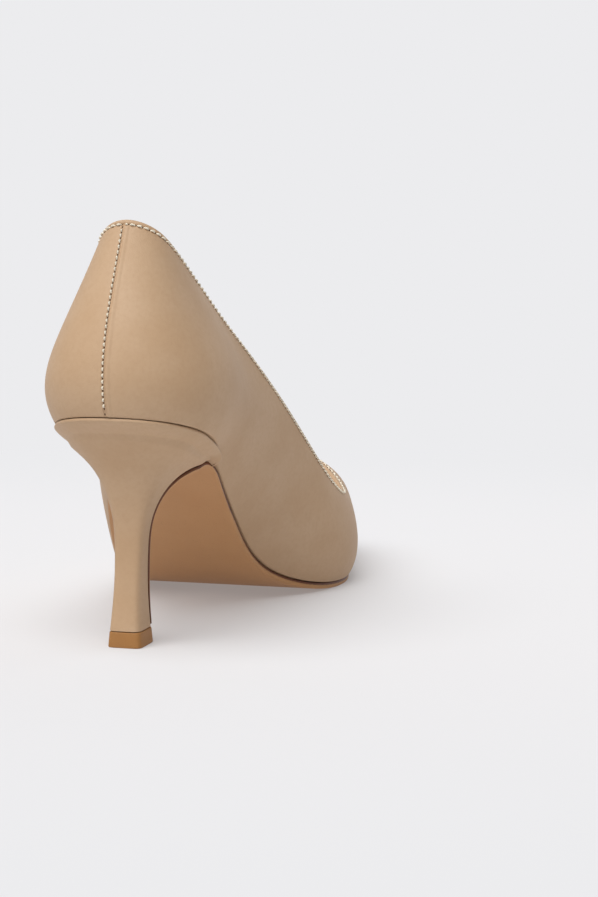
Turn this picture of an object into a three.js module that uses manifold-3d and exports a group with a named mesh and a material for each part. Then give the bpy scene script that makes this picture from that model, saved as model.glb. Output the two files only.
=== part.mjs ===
// A high heel pump for the left foot, built up the way a shoemaker lasts one.
// Millimetres, +Z up, +Y towards the toe, +X towards the inner (medial) side of the foot.
// The origin is the centre of the face that the top lift stands on.
import * as THREE from 'three';
import { mergeVertices } from 'three/addons/utils/BufferGeometryUtils.js';
import Module from 'manifold-3d';

const wasm = await Module();
wasm.setup();

// ---- Driving dimensions ----
const lastLength = 233; // back of the seat to the tip of the toe, along the floor
const ballWidth = 75; // widest part of the feather line
const heelHeight = 75; // floor to the lasted bottom at the back of the seat
const quarterHeight = 65; // seat to topline at the back seam

const upperThickness = 1.2;
const liningThickness = 0.8;
const interliningThickness = 0.5;
const stiffenerThickness = 1.0; // heel counter and toe puff
const seamTapeThickness = 0.3;
const insoleThickness = 1.8;
const sockThickness = 1.0;
const padThickness = 1.2;
const soleThickness = 2.2;
const flapThickness = 1.4; // the sole where it runs down the heel breast
const shankThickness = 1.0;
const shankWidth = 12;
const shankBoardThickness = 0.6;
const lastingMargin = 11;
const liningMargin = 8;

const heelNeckWidth = 9.4;
const heelNeckDepth = 9.1;
const heelCoverThickness = 0.8;
const topLiftHeight = 5;
const topLiftLength = 13.8;
const topLiftWidth = 11.4;
const coreWall = 1; // heel plastic left round the dowel at the neck
const dowelWall = 0.6;
const dowelLength = 34;
const liftPinLength = 12;
const liftPinDepth = 2.5; // how deep the pin sits in the top lift
const screwRadius = 2;
const screwLength = 24;
const nailRadius = 0.9;
const rearNailLength = 13.5;
const frontNailLength = 8.5;
const rivetRadius = 1.5;
const threadRadius = 0.25;
const stitchMargin = 2; // topline to the row of stitches

const gap = 0.3; // clearance between pieces that touch on the real shoe

// ---- The sample size that the pattern below is drawn at, and how far it is graded ----
const pattern = { length: 233, ballWidth: 75, quarterHeight: 65, neckWidth: 9.4, neckDepth: 9.1 };
const alongGrade = lastLength / pattern.length;
const acrossGrade = ballWidth / pattern.ballWidth;
const riseGrade = quarterHeight / pattern.quarterHeight;

// Side profile of the lasted bottom: distance from the back of the seat, height above the floor.
// The height is the tread's own above a share of the heel height, from 1 at the seat to 0 at the tread.
const treadHeight = soleThickness - 0.1;
const profileKnots = [
  [-6, 1.018], [0, 1], [25, 0.896], [47, 0.761], [66, 0.592], [90, 0.321],
  [110, 0.121], [128, 0.028], [150, 0], [175, 0.004], [205, 0.034], [233, 0.088], [240, 0.104],
];

// Stations round the shoe. Each row: place round the shoe (0 back seam, 0.5 toe),
// feather line x and y, topline x and y, rise of the topline above the lasted bottom,
// then the wall's two handles: out and up from the feather line, out and down from the topline.
const seatStations = [
  [0.035, 12.5, 3.5, 8.8, 22.5, 63.2, 8.5, 18, 11.5, 22],
  [0.075, 22.5, 14, 13, 34, 57.9, 10, 18, 10.5, 20],
  [0.12, 24.5, 30, 16.5, 50, 52.4, 11, 18, 9.5, 20],
];
const innerStations = [
  [0.18, 18.5, 52, 22, 68, 49.1, 10.5, 16, 6, 18],
  [0.25, 15.5, 82, 27.8, 91, 49.4, 10, 14, 3, 16],
  [0.32, 19, 109, 31.5, 113, 46.9, 9.5, 12, 3, 14],
  [0.38, 31.5, 134, 34.5, 134, 37, 7.5, 10, 4, 11],
  [0.42, 34, 157, 32.5, 153, 32.8, 6, 9, 5, 9],
  [0.46, 24, 192, 20, 168.5, 39.2, 5, 11, 14, 7],
];
const outerStations = [
  [0.54, -22, 197, -17, 169, 39.7, 5, 11, 14, 7],
  [0.58, -37, 163, -31, 155, 33.3, 6, 9, 5, 9],
  [0.62, -41, 138, -35.5, 136, 36.2, 6.5, 10, 4, 11],
  [0.68, -36.5, 108, -33.5, 113, 46.9, 6, 12, 3, 14],
  [0.75, -29.5, 80, -30, 91, 49.4, 7, 14, 3, 16],
  [0.82, -22.5, 52, -23, 68, 49.1, 8.5, 16, 6, 18],
];
const mirrored = ([u, fx, fy, tx, ...rest]) => [1 - u, -fx, fy, -tx, ...rest];
const backSeam = [0, 0, 0, 0, 18, pattern.quarterHeight, 7.5, 18, 12.5, 24];
const toe = [0.5, 2, 233, 2, 174, 44, 3, 12, 28, 12];
const stations = [
  backSeam, ...seatStations, ...innerStations, toe, ...outerStations,
  ...seatStations.map(mirrored).reverse(), [1, ...backSeam.slice(1)],
];

// Sections down the heel, from the seat to the top lift. Each row: share of the block's height
// and y at the back, the same at the front, half width, centre x, squareness at back and front.
const heelSections = [
  [1, 0.3, 0.687, 54.5, 24.6, 0, 2.1, 3.6],
  [0.905, 6, 0.713, 46.5, 20.6, -0.2, 2.3, 4.2],
  [0.793, 13, 0.68, 37.5, 14.3, -0.5, 2.5, 3.6],
  [0.657, 17.6, 0.607, 32, 9, -0.8, 3, 3.8],
  [0.506, 19.6, 0.491, 29.4, 5.7, -1.2, 3.6, 4.2],
  [0.348, 19.9, 0.348, 29, 4.7, -1.5, 4, 4.6],
  [0.183, 19.2, 0.183, 29.7, 4.6, -1.8, 4.4, 5],
  [0, 18, 0, 31, 5.3, -2.1, 5, 5.5],
];
const tip = { x: -2, y: 24.5 * alongGrade }; // centre of the top lift in the last's own frame

// ---- Curves ----

// A curve through the values with continuous curvature and no bend at its ends.
// Each value is a list of numbers; the curve gives such a list for any place along the knots.
function throughPoints(knots, values) {
  const last = knots.length - 1;
  const step = knots.slice(1).map((knot, i) => knot - knots[i]);
  const bends = values[0].map((_, column) => {
    const upper = [0];
    const bend = [0];
    for (let i = 1; i < last; i += 1) {
      const rise = (values[i + 1][column] - values[i][column]) / step[i];
      const before = (values[i][column] - values[i - 1][column]) / step[i - 1];
      const pivot = 2 * (step[i - 1] + step[i]) - step[i - 1] * upper[i - 1];
      upper[i] = step[i] / pivot;
      bend[i] = (6 * (rise - before) - step[i - 1] * bend[i - 1]) / pivot;
    }
    bend[last] = 0;
    for (let i = last - 1; i > 0; i -= 1) bend[i] -= upper[i] * bend[i + 1];
    return bend;
  });
  return (place) => {
    let k = 0;
    while (k < last - 1 && place > knots[k + 1]) k += 1;
    const a = (knots[k + 1] - place) / step[k];
    const b = (place - knots[k]) / step[k];
    return values[k].map((value, column) => {
      const bend = bends[column];
      const curved = (a ** 3 - a) * bend[k] + (b ** 3 - b) * bend[k + 1];
      return a * value + b * values[k + 1][column] + (curved * step[k] ** 2) / 6;
    });
  };
}

// The same for a closed run of rows whose first and last are one place, at knots 0 and 1.
function throughClosedPoints(rows) {
  const open = rows.slice(0, -1);
  const turns = [-1, 0, 1].flatMap((turn) => open.map(([knot, ...value]) => [knot + turn, value]));
  const curve = throughPoints(turns.map(([knot]) => knot), turns.map(([, value]) => value));
  return (place) => curve(place - Math.floor(place));
}

const clamp = (value, low, high) => Math.min(Math.max(value, low), high);
const mix = (a, b, share) => a + (b - a) * share;

// ---- The last: feather line, bottom profile and wall ----

const profileCurve = throughPoints(
  profileKnots.map(([y]) => y * alongGrade),
  profileKnots.map(([, share]) => [mix(treadHeight, heelHeight, share)]),
);
const bottomZ = (y) => profileCurve(y)[0];
const roundTheShoe = throughClosedPoints(stations);

// The lasted bottom at a point of the plan, lifted along the bottom's own normal.
function onBottom(x, y, lift) {
  const slope = (bottomZ(y + 0.05) - bottomZ(y - 0.05)) / 0.1;
  const length = Math.hypot(1, slope);
  return new THREE.Vector3(x, y - (slope / length) * lift, bottomZ(y) + lift / length);
}

function featherPlan(u) {
  const [x, y] = roundTheShoe(u);
  return new THREE.Vector2(x * acrossGrade, y * alongGrade);
}

function outwardPlan(u) {
  const along = featherPlan(u + 0.001).sub(featherPlan(u - 0.001));
  return new THREE.Vector2(along.y, -along.x).normalize();
}

// The outer face of the upper: round the shoe by u, up the wall by rise (0 feather line, 1 topline).
function wall(u, rise) {
  const [, , topX, topY, topRise, out0, up0, out1, down1] = roundTheShoe(u);
  const plan = featherPlan(u);
  const out = outwardPlan(u);
  const foot = new THREE.Vector3(plan.x, plan.y, bottomZ(plan.y));
  const edge = new THREE.Vector3(topX * acrossGrade, topY * alongGrade, 0);
  edge.z = bottomZ(edge.y) + topRise * riseGrade;
  const low = foot.clone().add(new THREE.Vector3(out.x * out0, out.y * out0, up0 * riseGrade));
  const high = edge.clone().add(new THREE.Vector3(out.x * out1, out.y * out1, -down1 * riseGrade));
  const rest = 1 - rise;
  return foot.multiplyScalar(rest ** 3)
    .addScaledVector(low, 3 * rest * rest * rise)
    .addScaledVector(high, 3 * rest * rise * rise)
    .addScaledVector(edge, rise ** 3);
}

function wallNormal(u, rise) {
  const along = wall(u + 0.002, rise).sub(wall(u - 0.002, rise));
  const upward = wall(u, rise + 0.01).sub(wall(u, rise - 0.01));
  return along.cross(upward).normalize();
}

// The middle line of the sole, as x for a distance y from the back of the seat.
const middleKnots = [0, 0.08, 0.12, 0.16, 0.2, 0.25, 0.3, 0.35, 0.4, 0.45, 0.5];
const middlePlan = middleKnots.map((u) => featherPlan(u).add(featherPlan(1 - u)).multiplyScalar(0.5));
const middleCurve = throughPoints(middlePlan.map((p) => p.y), middlePlan.map((p) => [p.x]));
const middleX = (y) => middleCurve(y)[0];

// ---- Places round the shoe and up the wall that every layer shares ----

const halfColumns = [[0, 0.12, 6], [0.12, 0.38, 10], [0.38, 0.46, 4], [0.46, 0.5, 5]]
  .flatMap(([from, to, count]) => Array.from({ length: count }, (_, i) => mix(from, to, i / count)));
const columns = [...halfColumns, 0.5, ...halfColumns.map((u) => 1 - u).reverse()];
const wallRises = [0.1, 0.23, 0.36, 0.48, 0.6, 0.72, 0.82, 0.91, 1];
// The shared column nearest to a place, where a layer's edge can lie without crossing its neighbours' facets.
const nearer = (u, a, b) => (Math.abs(a - u) < Math.abs(b - u) ? a : b);
const onColumn = (u) => columns.reduce((best, column) => nearer(u, column, best));
const seamSlit = 0.0006; // half the open slit at the back seam, as a share of the way round

const counter = { end: onColumn(0.15), top: 0.6 };
const puff = { start: onColumn(0.42), top: 0.48 };
const easing = 0.02; // how far past a stiffener the lining takes to close in again

// 1 where a stiffener lies under the upper, easing to 0 beside it.
function stiffened(u, rise) {
  const fromBack = Math.min(u, 1 - u);
  const ramp = (past, length) => clamp(1 - past / length, 0, 1);
  const atBack = ramp(fromBack - counter.end, easing) * ramp(rise - counter.top, 0.1);
  const atToe = ramp(puff.start - fromBack, easing) * ramp(rise - puff.top, 0.1);
  return Math.max(atBack, atToe);
}

const underUpper = upperThickness + gap;
function liningDepth(u, rise) {
  return underUpper + mix(interliningThickness, stiffenerThickness, stiffened(u, rise)) + gap;
}

// Heights above the lasted bottom, along its normal.
const seatGap = gap / 2;
const level = { soleTop: -seatGap, upperLow: seatGap };
level.liningLow = level.upperLow + upperThickness + gap;
level.insoleLow = level.liningLow + liningThickness + gap;
level.insoleTop = level.insoleLow + insoleThickness;
level.sockLow = level.insoleTop + gap;
level.shankTop = level.upperLow + shankThickness;
level.boardLow = level.shankTop + gap;
level.boardTop = level.boardLow + shankBoardThickness;

// ---- Bodies from grids of points ----

const shoe = new THREE.Group();
shoe.position.set(-tip.x * acrossGrade, -tip.y, 0);

function add(name, geometry, finish) {
  const mesh = new THREE.Mesh(geometry, finish);
  mesh.name = name;
  shoe.add(mesh);
}

// A geometry from points and faces, with its faces turned outwards.
function closed(points, faces) {
  let volume = 0;
  for (let i = 0; i < faces.length; i += 3) {
    const [a, b, c] = [points[faces[i]], points[faces[i + 1]], points[faces[i + 2]]];
    volume += a.dot(b.clone().cross(c));
  }
  if (volume < 0) faces.reverse();
  const geometry = new THREE.BufferGeometry().setFromPoints(points);
  geometry.setIndex(faces);
  geometry.computeVertexNormals();
  return geometry;
}

// The closed body between two grids of points, row by row.
function between(outer, inner) {
  const rows = outer.length;
  const across = outer[0].length;
  const at = (side, i, j) => (side * rows + i) * across + j;
  const faces = [];
  const quad = (a, b, c, d) => faces.push(a, b, c, a, c, d);
  for (let i = 0; i < rows - 1; i += 1) {
    for (let j = 0; j < across - 1; j += 1) {
      quad(at(0, i, j), at(0, i, j + 1), at(0, i + 1, j + 1), at(0, i + 1, j));
      quad(at(1, i, j), at(1, i + 1, j), at(1, i + 1, j + 1), at(1, i, j + 1));
    }
    quad(at(0, i, 0), at(0, i + 1, 0), at(1, i + 1, 0), at(1, i, 0));
    quad(at(0, i, across - 1), at(1, i, across - 1), at(1, i + 1, across - 1), at(0, i + 1, across - 1));
  }
  for (let j = 0; j < across - 1; j += 1) {
    quad(at(0, 0, j), at(1, 0, j), at(1, 0, j + 1), at(0, 0, j + 1));
    quad(at(0, rows - 1, j), at(0, rows - 1, j + 1), at(1, rows - 1, j + 1), at(1, rows - 1, j));
  }
  return closed([...outer.flat(), ...inner.flat()], faces);
}

// The closed body through a stack of rings, each end closed on a point.
function throughRings(rings, firstCentre, lastCentre) {
  const around = rings[0].length;
  const faces = [];
  const first = rings.length * around;
  for (let j = 0; j < around; j += 1) {
    const next = (j + 1) % around;
    for (let i = 0; i < rings.length - 1; i += 1) {
      const [a, b] = [i * around + j, i * around + next];
      faces.push(a, b, b + around, a, b + around, a + around);
    }
    const top = first - around;
    faces.push(first, next, j, first + 1, top + j, top + next);
  }
  return closed([...rings.flat(), firstCentre, lastCentre], faces);
}

const centreOf = (ring) => ring.reduce((sum, p) => sum.add(p), new THREE.Vector3()).divideScalar(ring.length);

// A turned body about +Z from (radius, height) pairs that start and end on the axis or meet.
function turned(pairs, sides = 12) {
  const geometry = new THREE.LatheGeometry(pairs.map(([r, z]) => new THREE.Vector2(r, z)), sides);
  geometry.deleteAttribute('normal');
  geometry.deleteAttribute('uv');
  const merged = mergeVertices(geometry.rotateX(Math.PI / 2), 1e-4);
  merged.computeVertexNormals();
  return merged;
}

// Stands a body on the lasted bottom at a point of the plan, turned to the bottom's normal.
function standOnBottom(geometry, x, y) {
  const foot = onBottom(x, y, 0);
  const up = onBottom(x, y, 1).sub(foot);
  const turn = new THREE.Quaternion().setFromUnitVectors(new THREE.Vector3(0, 0, 1), up);
  return geometry.applyQuaternion(turn).translate(foot.x, foot.y, foot.z);
}

// Cuts each of the other bodies out of the first.
function cut(geometry, cutters) {
  const solid = (source) => {
    const bare = new THREE.BufferGeometry().setAttribute('position', source.getAttribute('position'));
    bare.setIndex(source.index);
    const merged = mergeVertices(bare, 1e-4);
    const vertProperties = merged.attributes.position.array;
    const triVerts = new Uint32Array(merged.index.array);
    return new wasm.Manifold(new wasm.Mesh({ numProp: 3, vertProperties, triVerts }));
  };
  const result = cutters.reduce((whole, cutter) => whole.subtract(solid(cutter)), solid(geometry)).getMesh();
  const made = new THREE.BufferGeometry();
  made.setAttribute('position', new THREE.BufferAttribute(result.vertProperties, 3));
  made.setIndex(new THREE.BufferAttribute(result.triVerts, 1));
  made.computeVertexNormals();
  return made;
}

// ---- Finishes ----

function finish(color, roughness, metalness = 0) {
  return new THREE.MeshStandardMaterial({ color, roughness, metalness });
}
const nudeLeather = finish(0xc8aa8c, 0.45);
const liningLeather = finish(0xd9a982, 0.65);
const sockLeather = finish(0xdcb795, 0.6);
const fabric = finish(0xe8e2d6, 0.95);
const thermoplastic = finish(0xd8d4c8, 0.7);
const fibreboard = finish(0x9a7f60, 0.9);
const cork = finish(0xb58a5a, 0.95);
const foam = finish(0xf0ead8, 0.95);
const soleLeather = finish(0xa87850, 0.55);
const heelPlastic = finish(0xe6ddc8, 0.5);
const liftRubber = finish(0xa5733f, 0.6);
const steel = finish(0xb8bcc0, 0.35, 1);
const cottonThread = finish(0xe9dfcb, 0.85);

// ---- Upper, stiffeners and linings ----

// The middle of the forepart or seat that the margin is pulled towards.
function pullTarget(y) {
  const middle = clamp(y, 26 * alongGrade, 196 * alongGrade);
  return new THREE.Vector2(middleX(middle), middle);
}

// A row of a lasted layer: under the bottom, `margin` in from the feather line, or up the wall.
const underRow = (margin) => ({ margin });
const wallRow = (rise) => ({ rise });

function layerPoint(u, row, depth, height) {
  if (row.rise !== undefined) return wall(u, row.rise).addScaledVector(wallNormal(u, row.rise), -depth);
  const plan = featherPlan(u);
  const inward = pullTarget(plan.y).sub(plan).normalize();
  plan.addScaledVector(inward, Math.max(row.margin, depth));
  return onBottom(plan.x, plan.y, height);
}

// A lasted layer between two depths under the outer face; the depths are functions of u and rise.
function layer(around, rows, depthOut, depthIn, height = 0, thickness = 0) {
  const grid = (depth, lift) => rows.map((row) => around.map((u) => (
    layerPoint(u, row, depth(u, row.rise ?? 0), lift)
  )));
  return between(grid(depthOut, height), grid(depthIn, height + thickness));
}

const fixed = (depth) => () => depth;
const openRing = [seamSlit, ...columns.slice(1, -1), 1 - seamSlit];
// Part of the way round, from one place to another; a start below 0 begins before the back seam.
function stretch(from, to) {
  const inside = [...columns.slice(0, -1).map((u) => u - 1), ...columns].filter((u) => u > from && u < to);
  const spaced = inside.filter((u) => u - from > 0.003 && to - u > 0.003);
  return [from, ...spaced, to];
}

const marginRows = [underRow(lastingMargin), underRow(lastingMargin / 2), underRow(0)];
const upperRows = [...marginRows, ...wallRises.map(wallRow)];
const upper = layer(openRing, upperRows, fixed(0), fixed(upperThickness), level.upperLow, upperThickness);
add('upper', upper, nudeLeather);

const bonded = (thickness) => [fixed(underUpper), fixed(underUpper + thickness)];
const risesUpTo = (top) => wallRises.filter((rise) => rise <= top).map(wallRow);
for (const [name, from, to, top] of [
  ['heel_counter', -counter.end, counter.end, counter.top],
  ['toe_puff', puff.start, 1 - puff.start, puff.top],
]) {
  const piece = layer(stretch(from, to), risesUpTo(top), ...bonded(stiffenerThickness));
  add(name, piece, thermoplastic);
}
for (const [side, from, to] of [['medial', 0.198, 0.4], ['lateral', 0.6, 0.802]]) {
  const around = stretch(onColumn(from), onColumn(to));
  const piece = layer(around, risesUpTo(0.82), ...bonded(interliningThickness));
  add(`interlining_${side}`, piece, fabric);
}
const tapeRows = [0.91, 0.985].map(wallRow);
add('topline_tape', layer(openRing, tapeRows, ...bonded(interliningThickness)), fabric);
const seamTapeAround = [-onColumn(0.02), -seamSlit, seamSlit, onColumn(0.02)];
add('back_seam_tape', layer(seamTapeAround, [0.72, 0.82].map(wallRow), ...bonded(seamTapeThickness)), fabric);

const liningRows = [
  underRow(liningMargin), underRow(0), ...wallRises.slice(0, -1).map(wallRow), wallRow(0.99),
];
const liningInner = (u, rise) => liningDepth(u, rise) + liningThickness;
const liningJoin = 0.0005; // half the gap where two linings meet
const gripEnd = onColumn(0.06);
const quarterEnd = onColumn(0.33);
const linings = [
  ['heel_grip', -gripEnd, gripEnd],
  ['quarter_lining_medial', gripEnd, quarterEnd],
  ['vamp_lining', quarterEnd, 1 - quarterEnd],
  ['quarter_lining_lateral', 1 - quarterEnd, 1 - gripEnd],
];
for (const [name, from, to] of linings) {
  const around = stretch(from + liningJoin, to - liningJoin);
  const piece = layer(around, liningRows, liningDepth, liningInner, level.liningLow, liningThickness);
  add(name, piece, liningLeather);
}

// ---- Sheets of the bottom ----

const bottomColumns = [0.005, 0.015, 0.03, ...halfColumns.filter((u) => u > 0.04)];

// A sheet whose edges lie `inset` inside the feather line, between two heights given as functions of u.
function bottomGrid(places, inset, height, across = 4) {
  return places.map((u) => {
    const inner = featherPlan(u).addScaledVector(outwardPlan(u), -inset);
    const outer = featherPlan(1 - u).addScaledVector(outwardPlan(1 - u), -inset);
    return Array.from({ length: across + 1 }, (_, j) => {
      const plan = inner.clone().lerp(outer, j / across);
      return onBottom(plan.x, plan.y, height(u));
    });
  });
}

function bottomSheet(places, inset, low, high) {
  return between(bottomGrid(places, inset, high), bottomGrid(places, inset, low));
}

// A strip along the middle line, from one y to another, with a half width for each y.
function bottomStrip(from, to, halfWidth, low, high, rows = 14) {
  const grid = (height) => Array.from({ length: rows + 1 }, (_, i) => {
    const y = mix(from, to, i / rows);
    const half = halfWidth(y);
    return [-1, 0, 1].map((side) => onBottom(middleX(y) + side * half, y, height));
  });
  return between(grid(high), grid(low));
}

const insoleInset = upperThickness + stiffenerThickness + liningThickness + 3 * gap;
const shankFrom = 13 * alongGrade;
const shankTo = 112 * alongGrade;
const screwPlace = { x: middleX(34 * alongGrade), y: 34 * alongGrade };
const rivetPlaces = [21, 101].map((y) => ({ x: middleX(y * alongGrade), y: y * alongGrade }));
const nailSpread = 8.2 * acrossGrade;
const nailPlaces = [
  { x: -nailSpread, y: 20 * alongGrade, length: rearNailLength },
  { x: nailSpread, y: 20 * alongGrade, length: rearNailLength },
  { x: -nailSpread, y: 41 * alongGrade, length: frontNailLength },
  { x: nailSpread, y: 41 * alongGrade, length: frontNailLength },
];

// Fasteners, heads flush with the top of the insole board. Heights are above the lasted bottom.
const headTop = level.insoleTop;
const screwHeadRadius = screwRadius * 2;
const nailHeadRadius = nailRadius + 1;
const nailHeadThickness = 0.7;

function screwBody(clearance) {
  const tipZ = headTop - screwLength - clearance;
  return turned([
    [0, tipZ], [screwRadius / 2 + clearance, tipZ], [screwRadius + clearance, tipZ + 4],
    [screwRadius + clearance, headTop - screwRadius], [screwHeadRadius + clearance, headTop - clearance / 2],
    [screwHeadRadius + clearance, headTop + clearance * 2], [0, headTop + clearance * 2],
  ], 14);
}

function nailBody(length, clearance) {
  const tipZ = headTop - length - clearance;
  const radius = nailRadius + clearance;
  const headLow = headTop - nailHeadThickness - clearance;
  return turned([
    [0, tipZ], [radius * 0.6, tipZ], [radius, tipZ + 2], [radius, headLow],
    [nailHeadRadius + clearance, headLow], [nailHeadRadius + clearance, headTop + clearance * 2],
    [0, headTop + clearance * 2],
  ], 8);
}

function rivetBody(clearance) {
  const radius = rivetRadius + clearance;
  const low = level.upperLow - clearance;
  const high = level.boardTop + gap / 2 + clearance;
  return turned([[0, low], [radius, low], [radius, high], [0, high]], 12);
}

const screwHole = standOnBottom(screwBody(gap), screwPlace.x, screwPlace.y);
const nailHoles = nailPlaces.map(({ x, y, length }) => standOnBottom(nailBody(length, gap), x, y));
const rivetHoles = rivetPlaces.map(({ x, y }) => standOnBottom(rivetBody(gap), x, y));
const heelHoles = [screwHole, ...nailHoles];

const insole = bottomSheet(bottomColumns, insoleInset + 2 * gap, fixed(level.insoleLow), fixed(level.insoleTop));
add('insole_board', cut(insole, heelHoles), fibreboard);

// Half width of the fibre board that backs the seat and waist, inside the lasting margins.
function shankBoardHalf(y) {
  const seatShare = clamp((y / alongGrade - 14) / 11, 0, 1);
  const waistShare = clamp((y / alongGrade - 30) / 30, 0, 1);
  return mix(mix(4, 10.5, seatShare), 8.2, waistShare) * acrossGrade;
}
const board = bottomStrip(shankFrom + 2, shankTo, shankBoardHalf, level.boardLow, level.boardTop);
add('shank_board', cut(board, [...heelHoles, ...rivetHoles]), fibreboard);

const shank = bottomStrip(shankFrom, shankTo - 2, fixed(shankWidth / 2), level.upperLow, level.shankTop);
add('steel_shank', cut(shank, [screwHole, ...rivetHoles]), steel);

const fillerPlaces = columns.filter((u) => u >= 0.345 && u <= 0.468);
const fillerLow = level.upperLow + seatGap;
const filler = bottomSheet(fillerPlaces, lastingMargin + 1.2, fixed(fillerLow), fixed(level.boardTop));
add('bottom_filler', filler, cork);

const pads = [
  ['heel_pad', 0.03, 0.15],
  ['ball_pad', 0.345, 0.44],
];
for (const [name, from, to] of pads) {
  const places = bottomColumns.filter((u) => u >= from && u <= to);
  const padLow = level.sockLow;
  add(name, bottomSheet(places, insoleInset + 4, fixed(padLow), fixed(padLow + padThickness)), foam);
}
function sockLift(u) {
  const over = pads.map(([, from, to]) => clamp(1 - Math.max(from - u, u - to) / easing, 0, 1));
  return level.sockLow + Math.max(...over) * (padThickness + gap);
}
const sock = bottomSheet(bottomColumns, insoleInset + 1, sockLift, (u) => sockLift(u) + sockThickness);
add('sock_lining', sock, sockLeather);

// ---- Heel ----

const blockLow = topLiftHeight + gap;
const sectionKnots = heelSections.map((_, i) => i / (heelSections.length - 1));
const sectionCurve = throughPoints(sectionKnots, heelSections.map(
  ([backShare, backY, frontShare, frontY, half, centre, ...squareness], i) => {
    const neckShare = Math.min(1, i / 4);
    const wide = mix(acrossGrade, heelNeckWidth / pattern.neckWidth, neckShare);
    const deep = mix(1, heelNeckDepth / pattern.neckDepth, neckShare);
    const middle = ((backY + frontY) / 2) * alongGrade;
    const depth = ((frontY - backY) / 2) * mix(alongGrade, 1, neckShare) * deep;
    const blockHeight = heelHeight - blockLow;
    return [
      blockLow + backShare * blockHeight, middle - depth, blockLow + frontShare * blockHeight, middle + depth,
      half * wide, centre * acrossGrade, ...squareness,
    ];
  },
));
const rim = 0.9; // thickness of the heel's edge where it meets the lasted bottom
const breastShift = 1.6 * acrossGrade; // the breast corners lie a little to the outer side

// The outer face of the heel: angle 0 at the back and +90 degrees on the inner side, down 0 seat to 1 lift.
function heelFace(angle, down) {
  const [backZ, backY, frontZ, frontY, half, centre, backSquare, frontSquare] = sectionCurve(down);
  const [c, s] = [Math.cos(angle), Math.sin(angle)];
  const square = mix(frontSquare, backSquare, 0.5 * (1 + Math.tanh(3 * c)));
  const radius = (Math.abs(s) ** square + Math.abs(c) ** square) ** (-1 / square);
  const forward = 0.5 * (1 - radius * c);
  const shift = breastShift * forward * clamp(1 - 3 * down, 0, 1);
  const point = new THREE.Vector3(centre + half * radius * s - shift, mix(backY, frontY, forward), 0);
  const seat = bottomZ(point.y);
  const sectionZ = mix(backZ, frontZ, forward);
  point.z = sectionZ + Math.max(0, seat - sectionZ) * clamp(1 - 6 * down, 0, 1);
  if (sectionZ > seat) point.z = seat;
  point.z = Math.min(point.z, down > 0 ? seat - rim : seat - seatGap);
  return point;
}

function heelNormal(angle, down) {
  const place = clamp(down, 0.05, 0.99);
  const round = heelFace(angle + 0.02, place).sub(heelFace(angle - 0.02, place));
  const along = heelFace(angle, place + 0.01).sub(heelFace(angle, place - 0.01));
  return along.cross(round).normalize();
}

// A point under the heel's face, kept below the lasted bottom.
function underHeelFace(angle, down, depth, seatClearance) {
  const point = heelFace(angle, down);
  const normal = heelNormal(angle, down);
  if (down === 0) {
    const round = heelFace(angle + 0.02, 0).sub(heelFace(angle - 0.02, 0));
    normal.set(round.y, -round.x, 0).normalize();
  }
  point.addScaledVector(normal, -depth);
  point.z = Math.min(point.z, bottomZ(point.y) - seatGap - seatClearance);
  return point;
}

const turnsRound = (count, from, to) => Array.from({ length: count + 1 }, (_, i) => mix(from, to, i / count));
const heelDowns = [0.06, 0.12, 0.19, 0.27, 0.36, 0.46, 0.58, 0.72, 0.86, 1];
const coverDowns = [0, 0.015, ...heelDowns];
const heelTurn = Math.PI / 15; // one step round the heel
const coverTurns = 12; // the cover's edges lie under the flap, this many steps from the back
const coverAngles = turnsRound(2 * coverTurns, -coverTurns * heelTurn, coverTurns * heelTurn);
const coverOuter = coverDowns.map((down) => coverAngles.map((angle) => heelFace(angle, down)));
const coverInner = coverDowns.map((down) => coverAngles.map((angle) => (
  underHeelFace(angle, down, heelCoverThickness, down > 0 ? 0.1 : 0)
)));
add('heel_cover', between(coverOuter, coverInner), nudeLeather);

const coreInset = heelCoverThickness + gap;
const coreAngles = turnsRound(30, 0, 2 * Math.PI).slice(0, -1);
// How far towards the breast a place round the heel lies: 0 at the back, 1 at the middle of the breast.
const breastLead = (angle) => (1 - Math.cos(angle)) / 2;
const seatedAt = (x, y) => new THREE.Vector3(x, y, bottomZ(y) - seatGap);
const coreEase = 0.6; // the core draws in this much more towards the seat
// Towards the breast the core's rings start lower, where the heel's thin front edge has room for them.
const coreRings = heelDowns.map((down) => coreAngles.map((angle) => {
  const lead = breastLead(angle);
  const ease = coreEase * (clamp(1 - down / 0.12, 0, 1) + lead ** 2 * clamp(1 - down / 0.3, 0, 1));
  return underHeelFace(angle, mix(down, 1, 0.1 * lead ** 2), coreInset + ease, 0.1);
}));
const coreMiddle = centreOf(coreRings[0]);
// The core's top follows the lasted bottom, a share of the way from its widest ring to its middle.
const coreSeat = (share) => coreRings[0].map(({ x, y }) => (
  seatedAt(mix(x, coreMiddle.x, share), mix(y, coreMiddle.y, share))
));
const coreBlank = throughRings(
  [coreSeat(0.5), coreSeat(0.06), ...coreRings],
  seatedAt(coreMiddle.x, coreMiddle.y),
  centreOf(coreRings.at(-1)),
);

const dowelRadius = Math.min(heelNeckWidth, heelNeckDepth) / 2 - coreInset - coreWall - gap;
const dowelBore = dowelRadius - dowelWall;
const liftPinRadius = dowelBore - gap;
const dowelPlace = { x: -1.75 * acrossGrade, y: tip.y };
const dowelLow = blockLow + gap;
const uprightRod = (radius, low, high) => turned([[0, low], [radius, low], [radius, high], [0, high]], 16)
  .translate(dowelPlace.x, dowelPlace.y, 0);
const dowelHole = uprightRod(dowelRadius + gap, 0, dowelLow + dowelLength + gap);
add('heel_core', cut(coreBlank, [...heelHoles, dowelHole]), heelPlastic);

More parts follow.
